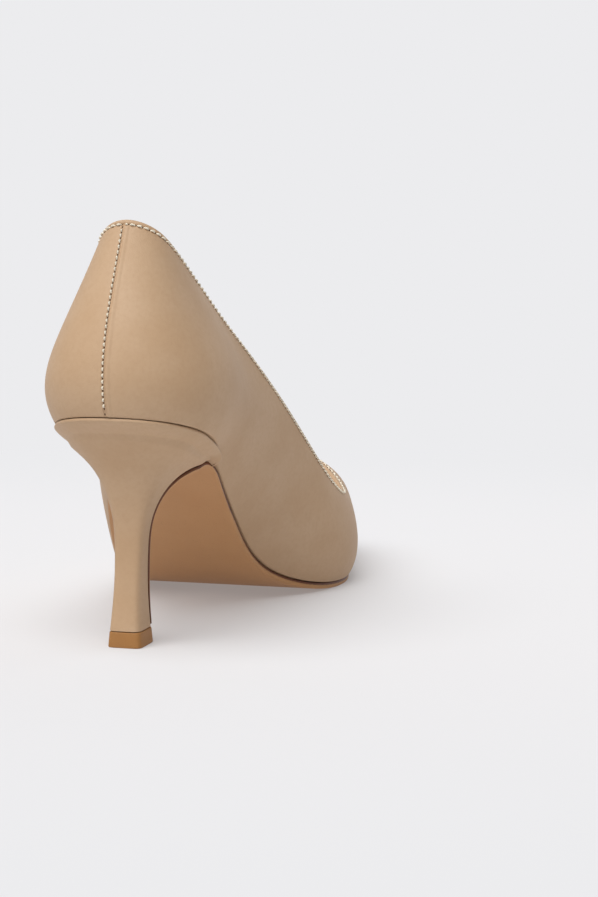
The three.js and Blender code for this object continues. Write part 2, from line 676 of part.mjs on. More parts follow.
const dowelHigh = dowelLow + dowelLength;
const dowel = turned([
  [dowelBore, dowelLow], [dowelRadius, dowelLow], [dowelRadius, dowelHigh], [dowelBore, dowelHigh],
  [dowelBore, dowelLow],
], 16).translate(dowelPlace.x, dowelPlace.y, 0);
add('heel_dowel', dowel, steel);

add('heel_screw', standOnBottom(screwBody(0), screwPlace.x, screwPlace.y), steel);
nailPlaces.forEach(({ x, y, length }, i) => {
  add(`heel_nail_${i + 1}`, standOnBottom(nailBody(length, 0), x, y), steel);
});
rivetPlaces.forEach(({ x, y }, i) => {
  add(`shank_rivet_${i + 1}`, standOnBottom(rivetBody(0), x, y), steel);
});

// ---- Top lift and its pin ----

function liftRing(halfWidth, halfLength, z) {
  const squareness = 7;
  return turnsRound(28, 0, 2 * Math.PI).slice(0, -1).map((angle) => {
    const [c, s] = [Math.cos(angle), Math.sin(angle)];
    const radius = (Math.abs(s) ** squareness + Math.abs(c) ** squareness) ** (-1 / squareness);
    const x = tip.x * acrossGrade + halfWidth * radius * s;
    return new THREE.Vector3(x, tip.y - halfLength * radius * c, z);
  });
}
const liftTaper = 0.35;
const liftEdge = 0.4;
const liftSection = (shrink, z) => liftRing(topLiftWidth / 2 - shrink, topLiftLength / 2 - shrink, z);
const liftRings = [
  liftSection(liftEdge, 0), liftSection(0, liftEdge),
  liftSection(liftTaper, topLiftHeight - liftEdge), liftSection(liftTaper + liftEdge, topLiftHeight),
];
const liftBlank = throughRings(liftRings, centreOf(liftRings[0]), centreOf(liftRings.at(-1)));
const pinLow = topLiftHeight - liftPinDepth;
const pinHole = uprightRod(liftPinRadius + gap, pinLow - gap, topLiftHeight + 1);
add('top_lift', cut(liftBlank, [pinHole]), liftRubber);
add('top_lift_pin', uprightRod(liftPinRadius, pinLow, pinLow + liftPinLength), steel);

// ---- Outsole: under the forepart and waist, then down the heel breast as a flap ----

const breastPlace = 0.193; // where round the shoe the sole leaves the lasted bottom
const solePlaces = [...columns.filter((u) => u > breastPlace + 0.008 && u < 0.49), 0.497].reverse();
solePlaces.push(breastPlace);
const flapDowns = [...heelDowns.slice(0, -1), 0.965];
const soleInset = 0.4;
const soleAcross = 8;

function soleHeight(u) {
  const thin = clamp((u - breastPlace) / 0.06, 0, 1);
  return level.soleTop - mix(flapThickness, soleThickness, thin);
}

function flapGrid(depth) {
  return flapDowns.map((down) => {
    const edgeTurns = mix(3.15, 4, clamp(down * 4, 0, 1));
    return [-edgeTurns, -3, -2, -1, 0, 1, 2, 3, edgeTurns].map((turns) => {
      const angle = Math.PI + turns * heelTurn;
      return heelFace(angle, down).addScaledVector(heelNormal(angle, down), depth);
    });
  });
}

const soleTop = [...bottomGrid(solePlaces, soleInset, fixed(level.soleTop), soleAcross), ...flapGrid(gap)];
const soleBottom = [
  ...bottomGrid(solePlaces, soleInset, soleHeight, soleAcross),
  ...flapGrid(gap + flapThickness),
];
soleBottom.flat().forEach((point) => point.setZ(Math.max(0, point.z))); // the tread wears flat on the floor
add('outsole', between(soleTop, soleBottom), soleLeather);

// ---- Stitching ----

// A thread lying on the upper through places given as [u, rise].
function thread(places) {
  const sides = 5;
  const rings = places.map(([u, rise]) => {
    const out = wallNormal(u, rise);
    const centre = wall(u, rise).addScaledVector(out, gap + threadRadius);
    const next = places[1][0] === places[0][0] ? wall(u + 0.001, rise) : wall(u, rise + 0.01);
    const side = next.sub(wall(u, rise)).normalize();
    return turnsRound(sides, 0, 2 * Math.PI).slice(0, -1).map((angle) => centre.clone()
      .addScaledVector(out, Math.cos(angle) * threadRadius)
      .addScaledVector(side, Math.sin(angle) * threadRadius));
  });
  return throughRings(rings, centreOf(rings[0]), centreOf(rings.at(-1)));
}
// The rise at a distance below the topline, from the length of the wall's upper handle.
function belowTopline(u, distance) {
  const [, , , , , , , out1, down1] = roundTheShoe(u);
  return 1 - distance / (3 * Math.hypot(out1, down1 * riseGrade));
}
const seamStitch = -0.0025;
const toplinePlaces = [0.006, ...columns.slice(1, -1), 0.994].map((u) => [u, belowTopline(u, stitchMargin)]);
const seamPlaces = [0.03, ...wallRises.slice(0, -2), 0.94].map((rise) => [seamStitch, rise]);
add('topline_stitching', thread(toplinePlaces), cottonThread);
add('back_seam_stitching', thread(seamPlaces), cottonThread);

export default shoe;
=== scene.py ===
"""A high heel pump for the left foot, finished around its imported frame.

The shoe is worked out in millimetres in its last's own frame, as a shoemaker's pattern is drawn: x towards
the inner side of the foot, y from the back of the seat towards the toe, z up from the floor. `to_frame`
moves a finished surface over the frame's top lift, in metres. `u` is a place round the shoe, 0 at the back
seam, 0.5 at the toe and back to 1 along the outer side. `rise` is a place up the upper's wall, 0 at the
feather line and 1 at the topline.
"""
import math

import bpy
import numpy as np
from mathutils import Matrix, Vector


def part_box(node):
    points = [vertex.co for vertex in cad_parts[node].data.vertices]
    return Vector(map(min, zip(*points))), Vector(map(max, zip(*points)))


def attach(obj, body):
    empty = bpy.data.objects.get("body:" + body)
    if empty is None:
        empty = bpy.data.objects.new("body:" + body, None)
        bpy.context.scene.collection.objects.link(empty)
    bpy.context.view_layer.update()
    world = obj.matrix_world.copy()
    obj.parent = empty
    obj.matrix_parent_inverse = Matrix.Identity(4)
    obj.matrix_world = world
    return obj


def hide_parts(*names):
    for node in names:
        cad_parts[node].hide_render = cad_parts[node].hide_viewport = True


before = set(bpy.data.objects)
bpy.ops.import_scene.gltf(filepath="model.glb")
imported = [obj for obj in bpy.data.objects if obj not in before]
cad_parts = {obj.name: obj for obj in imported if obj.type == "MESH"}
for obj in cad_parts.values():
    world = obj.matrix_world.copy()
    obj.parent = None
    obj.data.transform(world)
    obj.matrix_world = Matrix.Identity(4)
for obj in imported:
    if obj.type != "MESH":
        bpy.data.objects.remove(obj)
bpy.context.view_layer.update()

MM = 0.001

# ---- The pattern ----

heel_height = 75
tread_height = 2.1
upper_thickness = 1.2
lining_thickness = 0.8
interlining_thickness = 0.5
stiffener_thickness = 1.0
seam_tape_thickness = 0.3
insole_thickness = 1.8
sock_thickness = 1.0
pad_thickness = 1.2
sole_thickness = 2.2
flap_thickness = 1.4
heel_cover_thickness = 0.8
top_lift_height = 5
top_lift_length = 13.8
top_lift_width = 11.4
lasting_margin = 11
lining_margin = 8
gap = 0.3
thread_radius = 0.31
stitch_pitch = 2.25
seam_stitch_pitch = 1.9
fold_radius = 1.05  # half the thickness of the folded edge
stitch_margin = 2.0  # stitch line below the topline
tip = np.array([-2, 24.5, 0])  # centre of the top lift's face in the last's frame

# Side profile of the lasted bottom: distance from the back of the seat and share of the heel's height.
profile_knots = [
    (-6, 1.018), (0, 1), (25, 0.896), (47, 0.761), (66, 0.592), (90, 0.321), (110, 0.121),
    (128, 0.028), (150, 0), (175, 0.004), (205, 0.034), (233, 0.088), (240, 0.104),
]

# Stations round the shoe: place, feather line x and y, topline x and y, rise of the topline above the
# lasted bottom, then the wall's two handles, out and up from the feather line, out and down from the topline.
seat_stations = [
    (0.035, 12.5, 3.5, 8.8, 22.5, 63.2, 8.5, 18, 11.5, 22),
    (0.075, 22.5, 14, 13, 34, 57.9, 10, 18, 10.5, 20),
    (0.12, 24.5, 30, 16.5, 50, 52.4, 11, 18, 9.5, 20),
]
inner_stations = [
    (0.18, 18.5, 52, 22, 68, 49.1, 10.5, 16, 6, 18),
    (0.25, 15.5, 82, 27.8, 91, 49.4, 10, 14, 3, 16),
    (0.32, 19, 109, 31.5, 113, 46.9, 9.5, 12, 3, 14),
    (0.38, 31.5, 134, 34.5, 134, 37, 7.5, 10, 4, 11),
    (0.42, 34, 157, 32.5, 153, 32.8, 6, 9, 5, 9),
    (0.46, 24, 192, 20, 168.5, 39.2, 5, 11, 14, 7),
]
outer_stations = [
    (0.54, -22, 197, -17, 169, 39.7, 5, 11, 14, 7),
    (0.58, -37, 163, -31, 155, 33.3, 6, 9, 5, 9),
    (0.62, -41, 138, -35.5, 136, 36.2, 6.5, 10, 4, 11),
    (0.68, -36.5, 108, -33.5, 113, 46.9, 6, 12, 3, 14),
    (0.75, -29.5, 80, -30, 91, 49.4, 7, 14, 3, 16),
    (0.82, -22.5, 52, -23, 68, 49.1, 8.5, 16, 6, 18),
]
back_seam = (0, 0, 0, 0, 18, 65, 7.5, 18, 12.5, 24)
toe_station = (0.5, 2, 233, 2, 174, 44, 3, 12, 28, 12)

# Sections down the heel, seat to top lift: share of the block's height and y at the back, the same at the
# front, half width, centre x, and squareness at the back and front.
heel_sections = [
    (1, 0.3, 0.687, 54.5, 24.6, 0, 2.1, 3.6),
    (0.905, 6, 0.713, 46.5, 20.6, -0.2, 2.3, 4.2),
    (0.793, 13, 0.68, 37.5, 14.3, -0.5, 2.5, 3.6),
    (0.657, 17.6, 0.607, 32, 9, -0.8, 3, 3.8),
    (0.506, 19.6, 0.491, 29.4, 5.7, -1.2, 3.6, 4.2),
    (0.348, 19.9, 0.348, 29, 4.7, -1.5, 4, 4.6),
    (0.183, 19.2, 0.183, 29.7, 4.6, -1.8, 4.4, 5),
    (0, 18, 0, 31, 5.3, -2.1, 5, 5.5),
]


# ---- Curves ----

def through_points(knots, rows):
    """The curve through the rows with continuous curvature and no bend at its ends. On each stretch the
    second derivative runs straight from one knot's bend to the next, and one system of equations gives
    the bends that make the slopes meet."""
    knots = np.asarray(knots, float)
    rows = np.asarray(rows, float).reshape(len(knots), -1)
    step = np.diff(knots)
    slope = np.diff(rows, axis=0) / step[:, None]
    inner = np.arange(1, len(knots) - 1)
    system = np.eye(len(knots))
    system[inner, inner - 1] = step[:-1]
    system[inner, inner] = 2 * (step[:-1] + step[1:])
    system[inner, inner + 1] = step[1:]
    right = np.zeros_like(rows)
    right[1:-1] = 6 * np.diff(slope, axis=0)
    bend = np.linalg.solve(system, right)

    def curve(place):
        place = np.asarray(place, float)
        k = np.clip(np.searchsorted(knots, place, side="right") - 1, 0, len(step) - 1)
        h = step[k][..., None]
        b = (place - knots[k])[..., None] / h
        a = 1 - b
        return a * rows[k] + b * rows[k + 1] + ((a**3 - a) * bend[k] + (b**3 - b) * bend[k + 1]) * h**2 / 6

    return curve


def mirrored(station):
    """The station on the other side of the shoe."""
    u, foot_x, foot_y, top_x, *rest = station
    return (1 - u, -foot_x, foot_y, -top_x, *rest)


def closed_curve(rows):
    """The same curve for a closed run of rows, by laying three turns of it end to end."""
    turns = [(row[0] + turn, *row[1:]) for turn in (-1, 0, 1) for row in rows]
    curve = through_points([row[0] for row in turns], [row[1:] for row in turns])
    return lambda place: curve(np.mod(place, 1))


def unit(vectors):
    """Vectors of length 1 in the same directions."""
    return vectors / np.linalg.norm(vectors, axis=-1, keepdims=True)


def distance_along(points):
    """Distances along a line of points, from its first."""
    return np.concatenate([[0], np.cumsum(np.linalg.norm(np.diff(points, axis=0), axis=-1))])


def mix(a, b, share):
    """The value that lies a share of the way from a to b."""
    return a + (b - a) * share


def smooth(value):
    """0 below 0, 1 above 1, and between them 3v^2 - 2v^3."""
    v = np.clip(value, 0, 1)
    return v * v * (3 - 2 * v)


# ---- The last: bottom, feather line and wall ----

profile = through_points(
    [y for y, _ in profile_knots],
    [mix(tread_height, heel_height, share) for _, share in profile_knots],
)
round_the_shoe = closed_curve([
    back_seam, *seat_stations, *inner_stations, toe_station, *outer_stations,
    *[mirrored(station) for station in reversed(seat_stations)],
])


def bottom_z(y):
    """Height of the lasted bottom above the floor."""
    return profile(y)[..., 0]


def on_bottom(plan, lift):
    """The lasted bottom at points of the plan, lifted along its own normal, which leans against its slope."""
    x, y, lift = np.broadcast_arrays(plan[..., 0], plan[..., 1], lift)
    slope = (bottom_z(y + 0.05) - bottom_z(y - 0.05)) / 0.1
    length = np.hypot(1, slope)
    return np.stack([x, y - slope / length * lift, bottom_z(y) + lift / length], -1)


def feather(u):
    """The feather line in plan."""
    return round_the_shoe(u)[..., :2]


def outward(u):
    """The feather line's outward normal in plan: its direction turned a quarter to the right."""
    along = unit(feather(u + 0.001) - feather(u - 0.001))
    return np.stack([along[..., 1], -along[..., 0]], -1)


def wall(u, rise):
    """The outer face of the upper: at each place a cubic with four points, the foot on the feather line,
    a handle out and up from it, a handle out and down from the topline, and the topline."""
    u, rise = np.broadcast_arrays(np.asarray(u, float), np.asarray(rise, float))
    x, y, top_x, top_y, top_rise, out_low, up_low, out_high, down_high = np.moveaxis(round_the_shoe(u), -1, 0)
    out = outward(u)
    foot = np.stack([x, y, bottom_z(y)], -1)
    edge = np.stack([top_x, top_y, bottom_z(top_y) + top_rise], -1)
    low = foot + np.concatenate([out * out_low[..., None], up_low[..., None]], -1)
    high = edge + np.concatenate([out * out_high[..., None], -down_high[..., None]], -1)
    r = rise[..., None]
    q = 1 - r
    return q**3 * foot + 3 * q * q * r * low + 3 * q * r * r * high + r**3 * edge


def wall_normal(u, rise):
    """The wall's outward normal: the direction round the shoe crossed with the direction up the wall."""
    around = wall(u + 0.002, rise) - wall(u - 0.002, rise)
    upward = wall(u, rise + 0.01) - wall(u, rise - 0.01)
    return unit(np.cross(around, upward))


def under_wall(u, rise, depth):
    """The wall, sunk by a depth along its normal."""
    depth = np.broadcast_to(depth, np.broadcast(u, rise).shape)
    return wall(u, rise) - wall_normal(u, rise) * depth[..., None]


def edge_speed(u):
    """Millimetres up the wall at the topline for one unit of rise: three times the upper handle's length."""
    handles = round_the_shoe(u)
    return 3 * np.hypot(handles[..., 7], handles[..., 8])


def below_topline(u, distance):
    """The rise at a distance in millimetres below the topline."""
    return 1 - distance / edge_speed(u)


middle_places = np.array([0, 0.08, 0.12, 0.16, 0.2, 0.25, 0.3, 0.35, 0.4, 0.45, 0.5])
middle_plan = (feather(middle_places) + feather(1 - middle_places)) / 2
middle_curve = through_points(middle_plan[:, 1], middle_plan[:, :1])


def pulled_in(u, margin):
    """A point of the plan that lies a margin inside the feather line, towards the middle of the sole."""
    plan = feather(u)
    y = np.clip(plan[..., 1], 26, 196)
    target = np.stack([middle_curve(y)[..., 0], y], -1)
    margin = np.broadcast_to(margin, plan.shape[:-1])
    return plan + unit(target - plan) * margin[..., None]


# ---- Depths and heights of the layers ----

counter_end, counter_top = 0.146, 0.6
puff_start, puff_top = 0.42, 0.48
easing = 0.02


def stiffened(u, rise):
    """1 where a stiffener lies under the upper, easing to 0 beside it."""
    from_back = np.minimum(u, 1 - u)

    def ramp(past, length):
        return np.clip(1 - past / length, 0, 1)

    at_back = ramp(from_back - counter_end, easing) * ramp(rise - counter_top, 0.1)
    at_toe = ramp(puff_start - from_back, easing) * ramp(rise - puff_top, 0.1)
    return np.maximum(at_back, at_toe)


under_upper = upper_thickness + gap


def lining_depth(u, rise):
    """How deep the lining lies under the outer face: past the upper and the stiffener or interlining."""
    return under_upper + mix(interlining_thickness, stiffener_thickness, stiffened(np.mod(u, 1), rise)) + gap


upper_low = gap / 2
sole_top = -gap / 2
lining_low = upper_low + upper_thickness + gap
insole_low = lining_low + lining_thickness + gap
insole_top = insole_low + insole_thickness
sock_low = insole_top + gap
sheet_inset = upper_thickness + stiffener_thickness + lining_thickness + 3 * gap
pads = {"heel_pad": (0.03, 0.15), "ball_pad": (0.345, 0.44)}


# ---- Meshes ----

low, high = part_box("top_lift")
lift_centre = np.array([(low.x + high.x) / 2, (low.y + high.y) / 2, low.z])


def to_frame(points):
    """From the last's frame, in millimetres, to the frame that holds the top lift, in metres."""
    return (np.asarray(points) - tip) * MM + lift_centre


def grid_faces(rows, across, wrap_rows=False, wrap_across=False):
    """The four-sided faces of a grid of points, its last row or column joined to the first where it wraps."""
    i = np.arange(rows if wrap_rows else rows - 1)[:, None]
    j = np.arange(across if wrap_across else across - 1)[None, :]

    def at(i, j):
        return (i % rows) * across + j % across

    corners = np.broadcast_arrays(at(i, j), at(i, j + 1), at(i + 1, j + 1), at(i + 1, j))
    return np.stack(corners, -1).reshape(-1, 4)


def smooth_mesh(name, points, faces, material):
    """A mesh of one material with smooth shading."""
    mesh = bpy.data.meshes.new(name)
    mesh.from_pydata(points.tolist(), [], faces)
    mesh.polygons.foreach_set("use_smooth", np.ones(len(mesh.polygons), bool))
    mesh.materials.append(material)
    return mesh


def placed(name, data):
    """A new object of the scene that shows a mesh, a light or a camera."""
    made = bpy.data.objects.new(name, data)
    bpy.context.scene.collection.objects.link(made)
    return made


def piece(name, points, groups, material, replaces=None, maps=None, edges=None, crease=50):
    """A piece of the shoe from points and groups of faces, the faces turned outwards by the sign of its
    volume. It replaces the frame's node of its own name unless others are given. `maps` holds a pair of
    values for each corner of each face, `edges` a share of burnish for each point."""
    points = to_frame(points)
    maps = maps or {}
    triangles = np.concatenate([g[:, [0, k, k + 1]] for g in groups for k in range(1, g.shape[1] - 1)])
    a, b, c = (points[triangles[:, k]] - points.mean(0) for k in range(3))
    if np.einsum("ij,ij->i", a, np.cross(b, c)).sum() < 0:
        groups = [group[:, ::-1] for group in groups]
        maps = {key: [value[:, ::-1] for value in values] for key, values in maps.items()}
    corners = [face for group in groups for face in group.tolist()]
    mesh = smooth_mesh(name + "_fine", points, corners, material)
    for key, values in maps.items():
        layer = mesh.uv_layers.new(name=key)
        layer.data.foreach_set("uv", np.concatenate([v.reshape(-1, 2) for v in values]).ravel())
    if edges is not None:
        mesh.attributes.new("edge", "FLOAT", "POINT").data.foreach_set("value", np.asarray(edges, np.float32))
    mesh.set_sharp_from_angle(angle=math.radians(crease))
    mesh.update()
    made = placed(mesh.name, mesh)
    replaces = replaces or [name]
    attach(made, "root")
    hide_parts(*replaces)
    return made


def between(outer, inner):
    """The closed body between two grids of points: both grids, and the four rims that join them."""
    rows, across = outer.shape[:2]
    count = rows * across
    face = grid_faces(rows, across)
    index = np.arange(count).reshape(rows, across)
    rims = index[0, ::-1], index[-1], index[:, 0], index[::-1, -1]
    strips = [np.stack([rim[:-1] + count, rim[1:] + count, rim[1:], rim[:-1]], -1) for rim in rims]
    points = np.concatenate([outer.reshape(-1, 3), inner.reshape(-1, 3)])
    return points, [np.concatenate([face, face[:, ::-1] + count, *strips])]


def capped(rings):
    """The closed body through a stack of rings, with a fan of triangles to the middle of each end."""
    rows, around = rings.shape[:2]
    ring = np.arange(around)
    after = (ring + 1) % around
    first, last = rows * around, rows * around + 1
    centres = [rings[0].mean(0), rings[-1].mean(0)]
    fans = np.concatenate([
        np.stack([np.full(around, first), after, ring], -1),
        np.stack([np.full(around, last), ring + first - around, after + first - around], -1),
    ])
    return np.concatenate([rings.reshape(-1, 3), centres]), [grid_faces(rows, around, wrap_across=True), fans]


# ---- Finishes ----

class Finish:
    """A material made node by node, whose colour and surface normal are built up in steps. `add` makes a
    node and feeds its inputs from values or sockets."""

    def __init__(self, name):
        self.material = bpy.data.materials.new(name)
        self.material.use_nodes = True
        self.tree = self.material.node_tree
        self.tree.nodes.clear()
        self.coords = self.add("TexCoord").outputs["Object"]
        self.colour = self.normal = None

    def add(self, kind, inputs=None, **settings):
        node = self.tree.nodes.new("ShaderNode" + kind)
        for key, value in settings.items():
            setattr(node, key, value)
        for key, value in (inputs or {}).items():
            if isinstance(value, bpy.types.NodeSocket):
                self.tree.links.new(value, node.inputs[key])
            else:
                node.inputs[key].default_value = value
        return node

    def maths(self, operation, *values):
        """The result of one sum on values or sockets."""
        return self.add("Math", dict(enumerate(values)), operation=operation).outputs[0]

    def step(self, value, low, high):
        """0 where the value is at low and 1 where it is at high, easing between."""
        inputs = {"Value": value, "From Min": low, "From Max": high}
        return self.add("MapRange", inputs, interpolation_type="SMOOTHSTEP").outputs[0]

    def spread(self, value, low, high):
        """A value from 0 to 1 spread between low and high."""
        return self.add("MapRange", {"Value": value, "To Min": low, "To Max": high}).outputs[0]

    def opposite(self, value):
        """What a value from 0 to 1 lacks of 1."""
        return self.maths("SUBTRACT", 1.0, value)

    def wave(self, value):
        """The size of the value's sine."""
        return self.maths("ABSOLUTE", self.maths("SINE", value))

    def noise(self, size, detail=2, stretch=(1, 1, 1), roughness=0.5):
        """Cloudy values from about 0 to 1, with features of a size in millimetres."""
        place = self.add("Mapping", {"Vector": self.coords, "Scale": stretch}).outputs[0]
        inputs = {"Vector": place, "Scale": 1 / (size * MM), "Detail": detail, "Roughness": roughness}
        return self.add("TexNoise", inputs).outputs["Fac"]

    def cells(self, size, feature="F1", output="Distance"):
        """The distances within cells of a size in millimetres, or another output of theirs."""
        node = self.add("TexVoronoi", {"Vector": self.coords, "Scale": 1 / (size * MM)}, feature=feature)
        if feature == "SMOOTH_F1":
            node.inputs["Smoothness"].default_value = 0.3
        return node.outputs[output]

    def map_pair(self, name):
        """The two values of one of the surface's maps."""
        place = self.add("UVMap", uv_map=name).outputs[0]
        return self.add("SeparateXYZ", {0: place}).outputs[:2]

    def dye(self, share, a, b):
        """Sets the colour a share of the way from a to b, each a socket or the six digits of a tint."""
        colours = {key: tint(c) if isinstance(c, str) else c for key, c in ((6, a), (7, b))}
        self.colour = self.add("Mix", {0: share, **colours}, data_type="RGBA").outputs[2]

    def tinge(self, share, code, strength=1.0):
        """Lays a tint over the colour, as strong as given where the share is 1."""
        self.dye(self.maths("MULTIPLY", share, strength), self.colour, code)

    def bump(self, height, depth):
        """Raises the surface by a height from 0 to 1 times a depth in millimetres."""
        inputs = {"Height": height, "Distance": depth * MM, "Strength": 1.0}
        if self.normal:
            inputs["Normal"] = self.normal
        self.normal = self.add("Bump", inputs).outputs[0]

    def shade(self, roughness, **constant):
        """Ends the material with its shader. The constants are set on the shader's own sockets."""
        inputs = {"Base Color": self.colour, "Roughness": roughness, "Normal": self.normal}
        shader = self.add("BsdfPrincipled", inputs)
        for key, value in constant.items():
            shader.inputs[key.replace("_", " ")].default_value = value
        self.add("OutputMaterial", {"Surface": shader.outputs[0]})
        return self.material


def tint(code):
    """A colour from its six hexadecimal digits, with the display curve taken off."""
    shares = np.array([int(code[k:k + 2], 16) / 255 for k in (0, 2, 4)])
    linear = np.where(shares <= 0.04045, shares / 12.92, ((shares + 0.055) / 1.055) ** 2.4)
    return (*linear, 1)


def stitch_marks(f, map_name, hole_length, hole_width):
    """Where the stitches pull the leather in: pits between them and a shallow furrow along the row, both sunk
    and darkened with painted shade.
    The map counts stitches one way and gives millimetres across the row the other way."""
    count, side = f.map_pair(map_name)
    from_hole = f.maths("ABSOLUTE", f.maths("SUBTRACT", f.maths("FRACT", count), 0.5))
    across = f.maths("ABSOLUTE", side)
    shares = f.maths("DIVIDE", from_hole, hole_length), f.maths("DIVIDE", across, hole_width)
    reach = f.maths("SQRT", f.maths("ADD", *[f.maths("MULTIPLY", share, share) for share in shares]))
    return f.step(reach, 1.15, 0.55), f.step(across, 0.75, 0.0)


def upper_leather(name="upper_leather_nude", stitched=True):
    """Smooth nude calf: a fine closed grain, faint clouds in the dye, and a soft, even sheen."""
    f = Finish(name)
    mottle = f.noise(1.4, detail=4, roughness=0.6)
    f.dye(f.step(f.noise(22, detail=3), 0.3, 0.7), "bf9e7c", "c5a686")
    f.tinge(f.step(mottle, 0.35, 0.75), "b79574", 0.3)
    f.tinge(f.step(f.cells(0.85), 0.16, 0.05), "a2805f", 0.2)
    f.bump(f.cells(0.42, "SMOOTH_F1"), 0.035)
    f.bump(f.noise(3.2), 0.05)
    if stitched:
        for map_name, hole_length, hole_width in (("topline", 0.1, 0.26), ("back_seam", 0.22, 0.2)):
            pit, furrow = stitch_marks(f, map_name, hole_length, hole_width)
            # Painted shade: the stitch furrow is tinted darker, and the needle holes darkest.
            f.tinge(furrow, "a07d5c", 0.28)
            f.tinge(pit, "5a3a22")
            f.bump(f.opposite(furrow), 0.12)
            f.bump(f.opposite(pit), 0.3)
    return f.shade(f.spread(mottle, 0.5, 0.6), Specular_IOR_Level=0.28)


def lining_leather():
    """Glazed pigskin: warm tan, with its bristle pores in small groups and a dry, even surface."""
    f = Finish("lining_pigskin")
    pores = f.step(f.cells(1.1), 0.17, 0.07)
    clouds = f.noise(14, detail=3)
    f.dye(clouds, "98592b", "a56838")
    f.tinge(pores, "7a4c2b", 0.5)
    f.bump(f.cells(0.5, "SMOOTH_F1"), 0.05)
    f.bump(f.opposite(pores), 0.06)
    return f.shade(f.spread(clouds, 0.5, 0.62), Specular_IOR_Level=0.2)


def sock_leather():
    """The sock's calf: paler than the lining, with fine creases across it and a slightly dulled surface."""
    f = Finish("sock_calf")
    creases = f.noise(2.6, detail=3, stretch=(0.35, 1, 1))
    f.dye(f.noise(18), "c08f63", "ca9b70")
    f.tinge(f.step(creases, 0.6, 0.8), "a87a52", 0.3)
    f.bump(creases, 0.08)
    f.bump(f.cells(0.45, "SMOOTH_F1"), 0.03)
    return f.shade(f.spread(creases, 0.46, 0.6), Specular_IOR_Level=0.38)


def sole_leather():
    """Waxed sole leather: a smooth tan bottom with fine scratches along it, and its edge burnished dark."""
    f = Finish("sole_leather")
    fibres = f.noise(0.5, detail=3, stretch=(1, 0.12, 1))
    edge = f.add("Attribute", attribute_name="edge").outputs["Fac"]
    ragged = f.maths("ADD", edge, f.maths("MULTIPLY", f.maths("SUBTRACT", f.noise(1.2, 3), 0.5), 0.25))
    burnish = f.step(ragged, 0.35, 0.7)
    f.dye(f.noise(0.35, stretch=(0.2, 0.2, 2)), "5a321e", "754529")
    burnished = f.colour
    f.dye(f.noise(16, 3), "bb8a5c", "c59567")
    f.tinge(f.step(fibres, 0.58, 0.8), "96683f", 0.3)
    f.dye(burnish, f.colour, burnished)
    f.bump(fibres, 0.03)
    f.bump(f.noise(5), 0.05)
    return f.shade(f.spread(burnish, 0.5, 0.42), Specular_IOR_Level=0.3)


def lift_rubber():
    """Moulded tan rubber: fine pale and dark specks, and a dull skin with faint mould marks."""
    f = Finish("lift_rubber")
    f.dye(f.noise(6, 3), "9c6c3a", "a97843")
    f.tinge(f.step(f.cells(0.7), 0.16, 0.08), "7f5328", 0.55)
    f.tinge(f.step(f.cells(1.3), 0.1, 0.05), "d9ad78", 0.5)
    f.bump(f.noise(0.3, 3), 0.03)
    f.bump(f.noise(0.6, 1, stretch=(0.05, 0.05, 1)), 0.02)
    return f.shade(f.spread(f.noise(2), 0.5, 0.66), Specular_IOR_Level=0.4)


def heel_plastic():
    """Moulded styrene: off-white, with flow clouds and a fine spark-eroded texture."""
    f = Finish("heel_styrene")
    f.dye(f.noise(9, 3, stretch=(1, 1, 0.3)), "ddd5c2", "e8e1d1")
    f.bump(f.noise(0.25), 0.02)
    return f.shade(f.spread(f.noise(1.5), 0.38, 0.52))


def stiffener_board():
    """Thermoplastic stiffener: pale grey-buff felt of short fibres under a thin glaze of resin."""
    f = Finish("stiffener_board")
    fibres = f.noise(0.6, 4, stretch=(1, 0.25, 1), roughness=0.7)
    cross = f.noise(0.7, 4, stretch=(0.25, 1, 0.6), roughness=0.7)
    f.dye(fibres, "c4bca9", "dbd4c4")
    f.tinge(f.step(cross, 0.6, 0.75), "b0a68f")
    f.bump(fibres, 0.1)
    f.bump(cross, 0.1)
    return f.shade(f.step(fibres, -1.2, 1.6), Specular_IOR_Level=0.35)


def backing_cloth():
    """Plain-woven cotton backing: two sets of threads 0.4 mm apart, each rising over the other in turn."""
    f = Finish("backing_cloth")
    turns = [f.maths("MULTIPLY", way, math.pi / 0.4) for way in f.map_pair("cloth")]
    over = f.step(f.maths("MULTIPLY", *[f.maths("SINE", turn) for turn in turns]), -0.2, 0.2)
    sets = zip(turns, (over, f.opposite(over)))
    height = f.maths("ADD", *[f.maths("MULTIPLY", f.wave(turn), share) for turn, share in sets])
    # Painted shade: the threads are dyed darker where the weave lies low.
    f.dye(f.step(height, 0.15, 0.8), "b3aa98", "ebe5d8")
    f.tinge(f.noise(3, 3), "d8cfbd", 0.3)
    f.bump(height, 0.12)
    return f.shade(f.step(height, -4, 2.2), Sheen_Weight=0.2)


def fibreboard():
    """Pressed cellulose board: brown, flecked with pale and dark fibres, with a dry surface."""
    f = Finish("fibreboard")
    flecks = f.noise(0.9, 4, stretch=(1, 0.3, 1), roughness=0.75)
    f.dye(f.noise(7), "8f7352", "a18462")
    f.tinge(f.step(flecks, 0.6, 0.7), "c9b08c")
    f.tinge(f.step(flecks, 0.4, 0.3), "5d452c")
    f.bump(flecks, 0.08)
    return f.shade(f.step(flecks, -3, 1.4), Specular_IOR_Level=0.25)


def cork():
    """Ground cork bound with resin: granules of several browns, with painted shade in the sunk gaps between
    them.
    """
    f = Finish("cork_filler")
    gaps = f.step(f.cells(1.1, "DISTANCE_TO_EDGE"), 0.1, 0.02)
    grain = f.add("SeparateColor", {0: f.cells(1.1, output="Color")}).outputs[0]
    f.dye(grain, "9c6f43", "c99f6c")
    # Painted shade in the gaps between the granules.
    f.tinge(gaps, "4e331c")
    f.bump(f.noise(0.3, 3), 0.05)
    f.bump(f.opposite(gaps), 0.15)
    return f.shade(f.step(grain, -3, 1.3), Specular_IOR_Level=0.2)


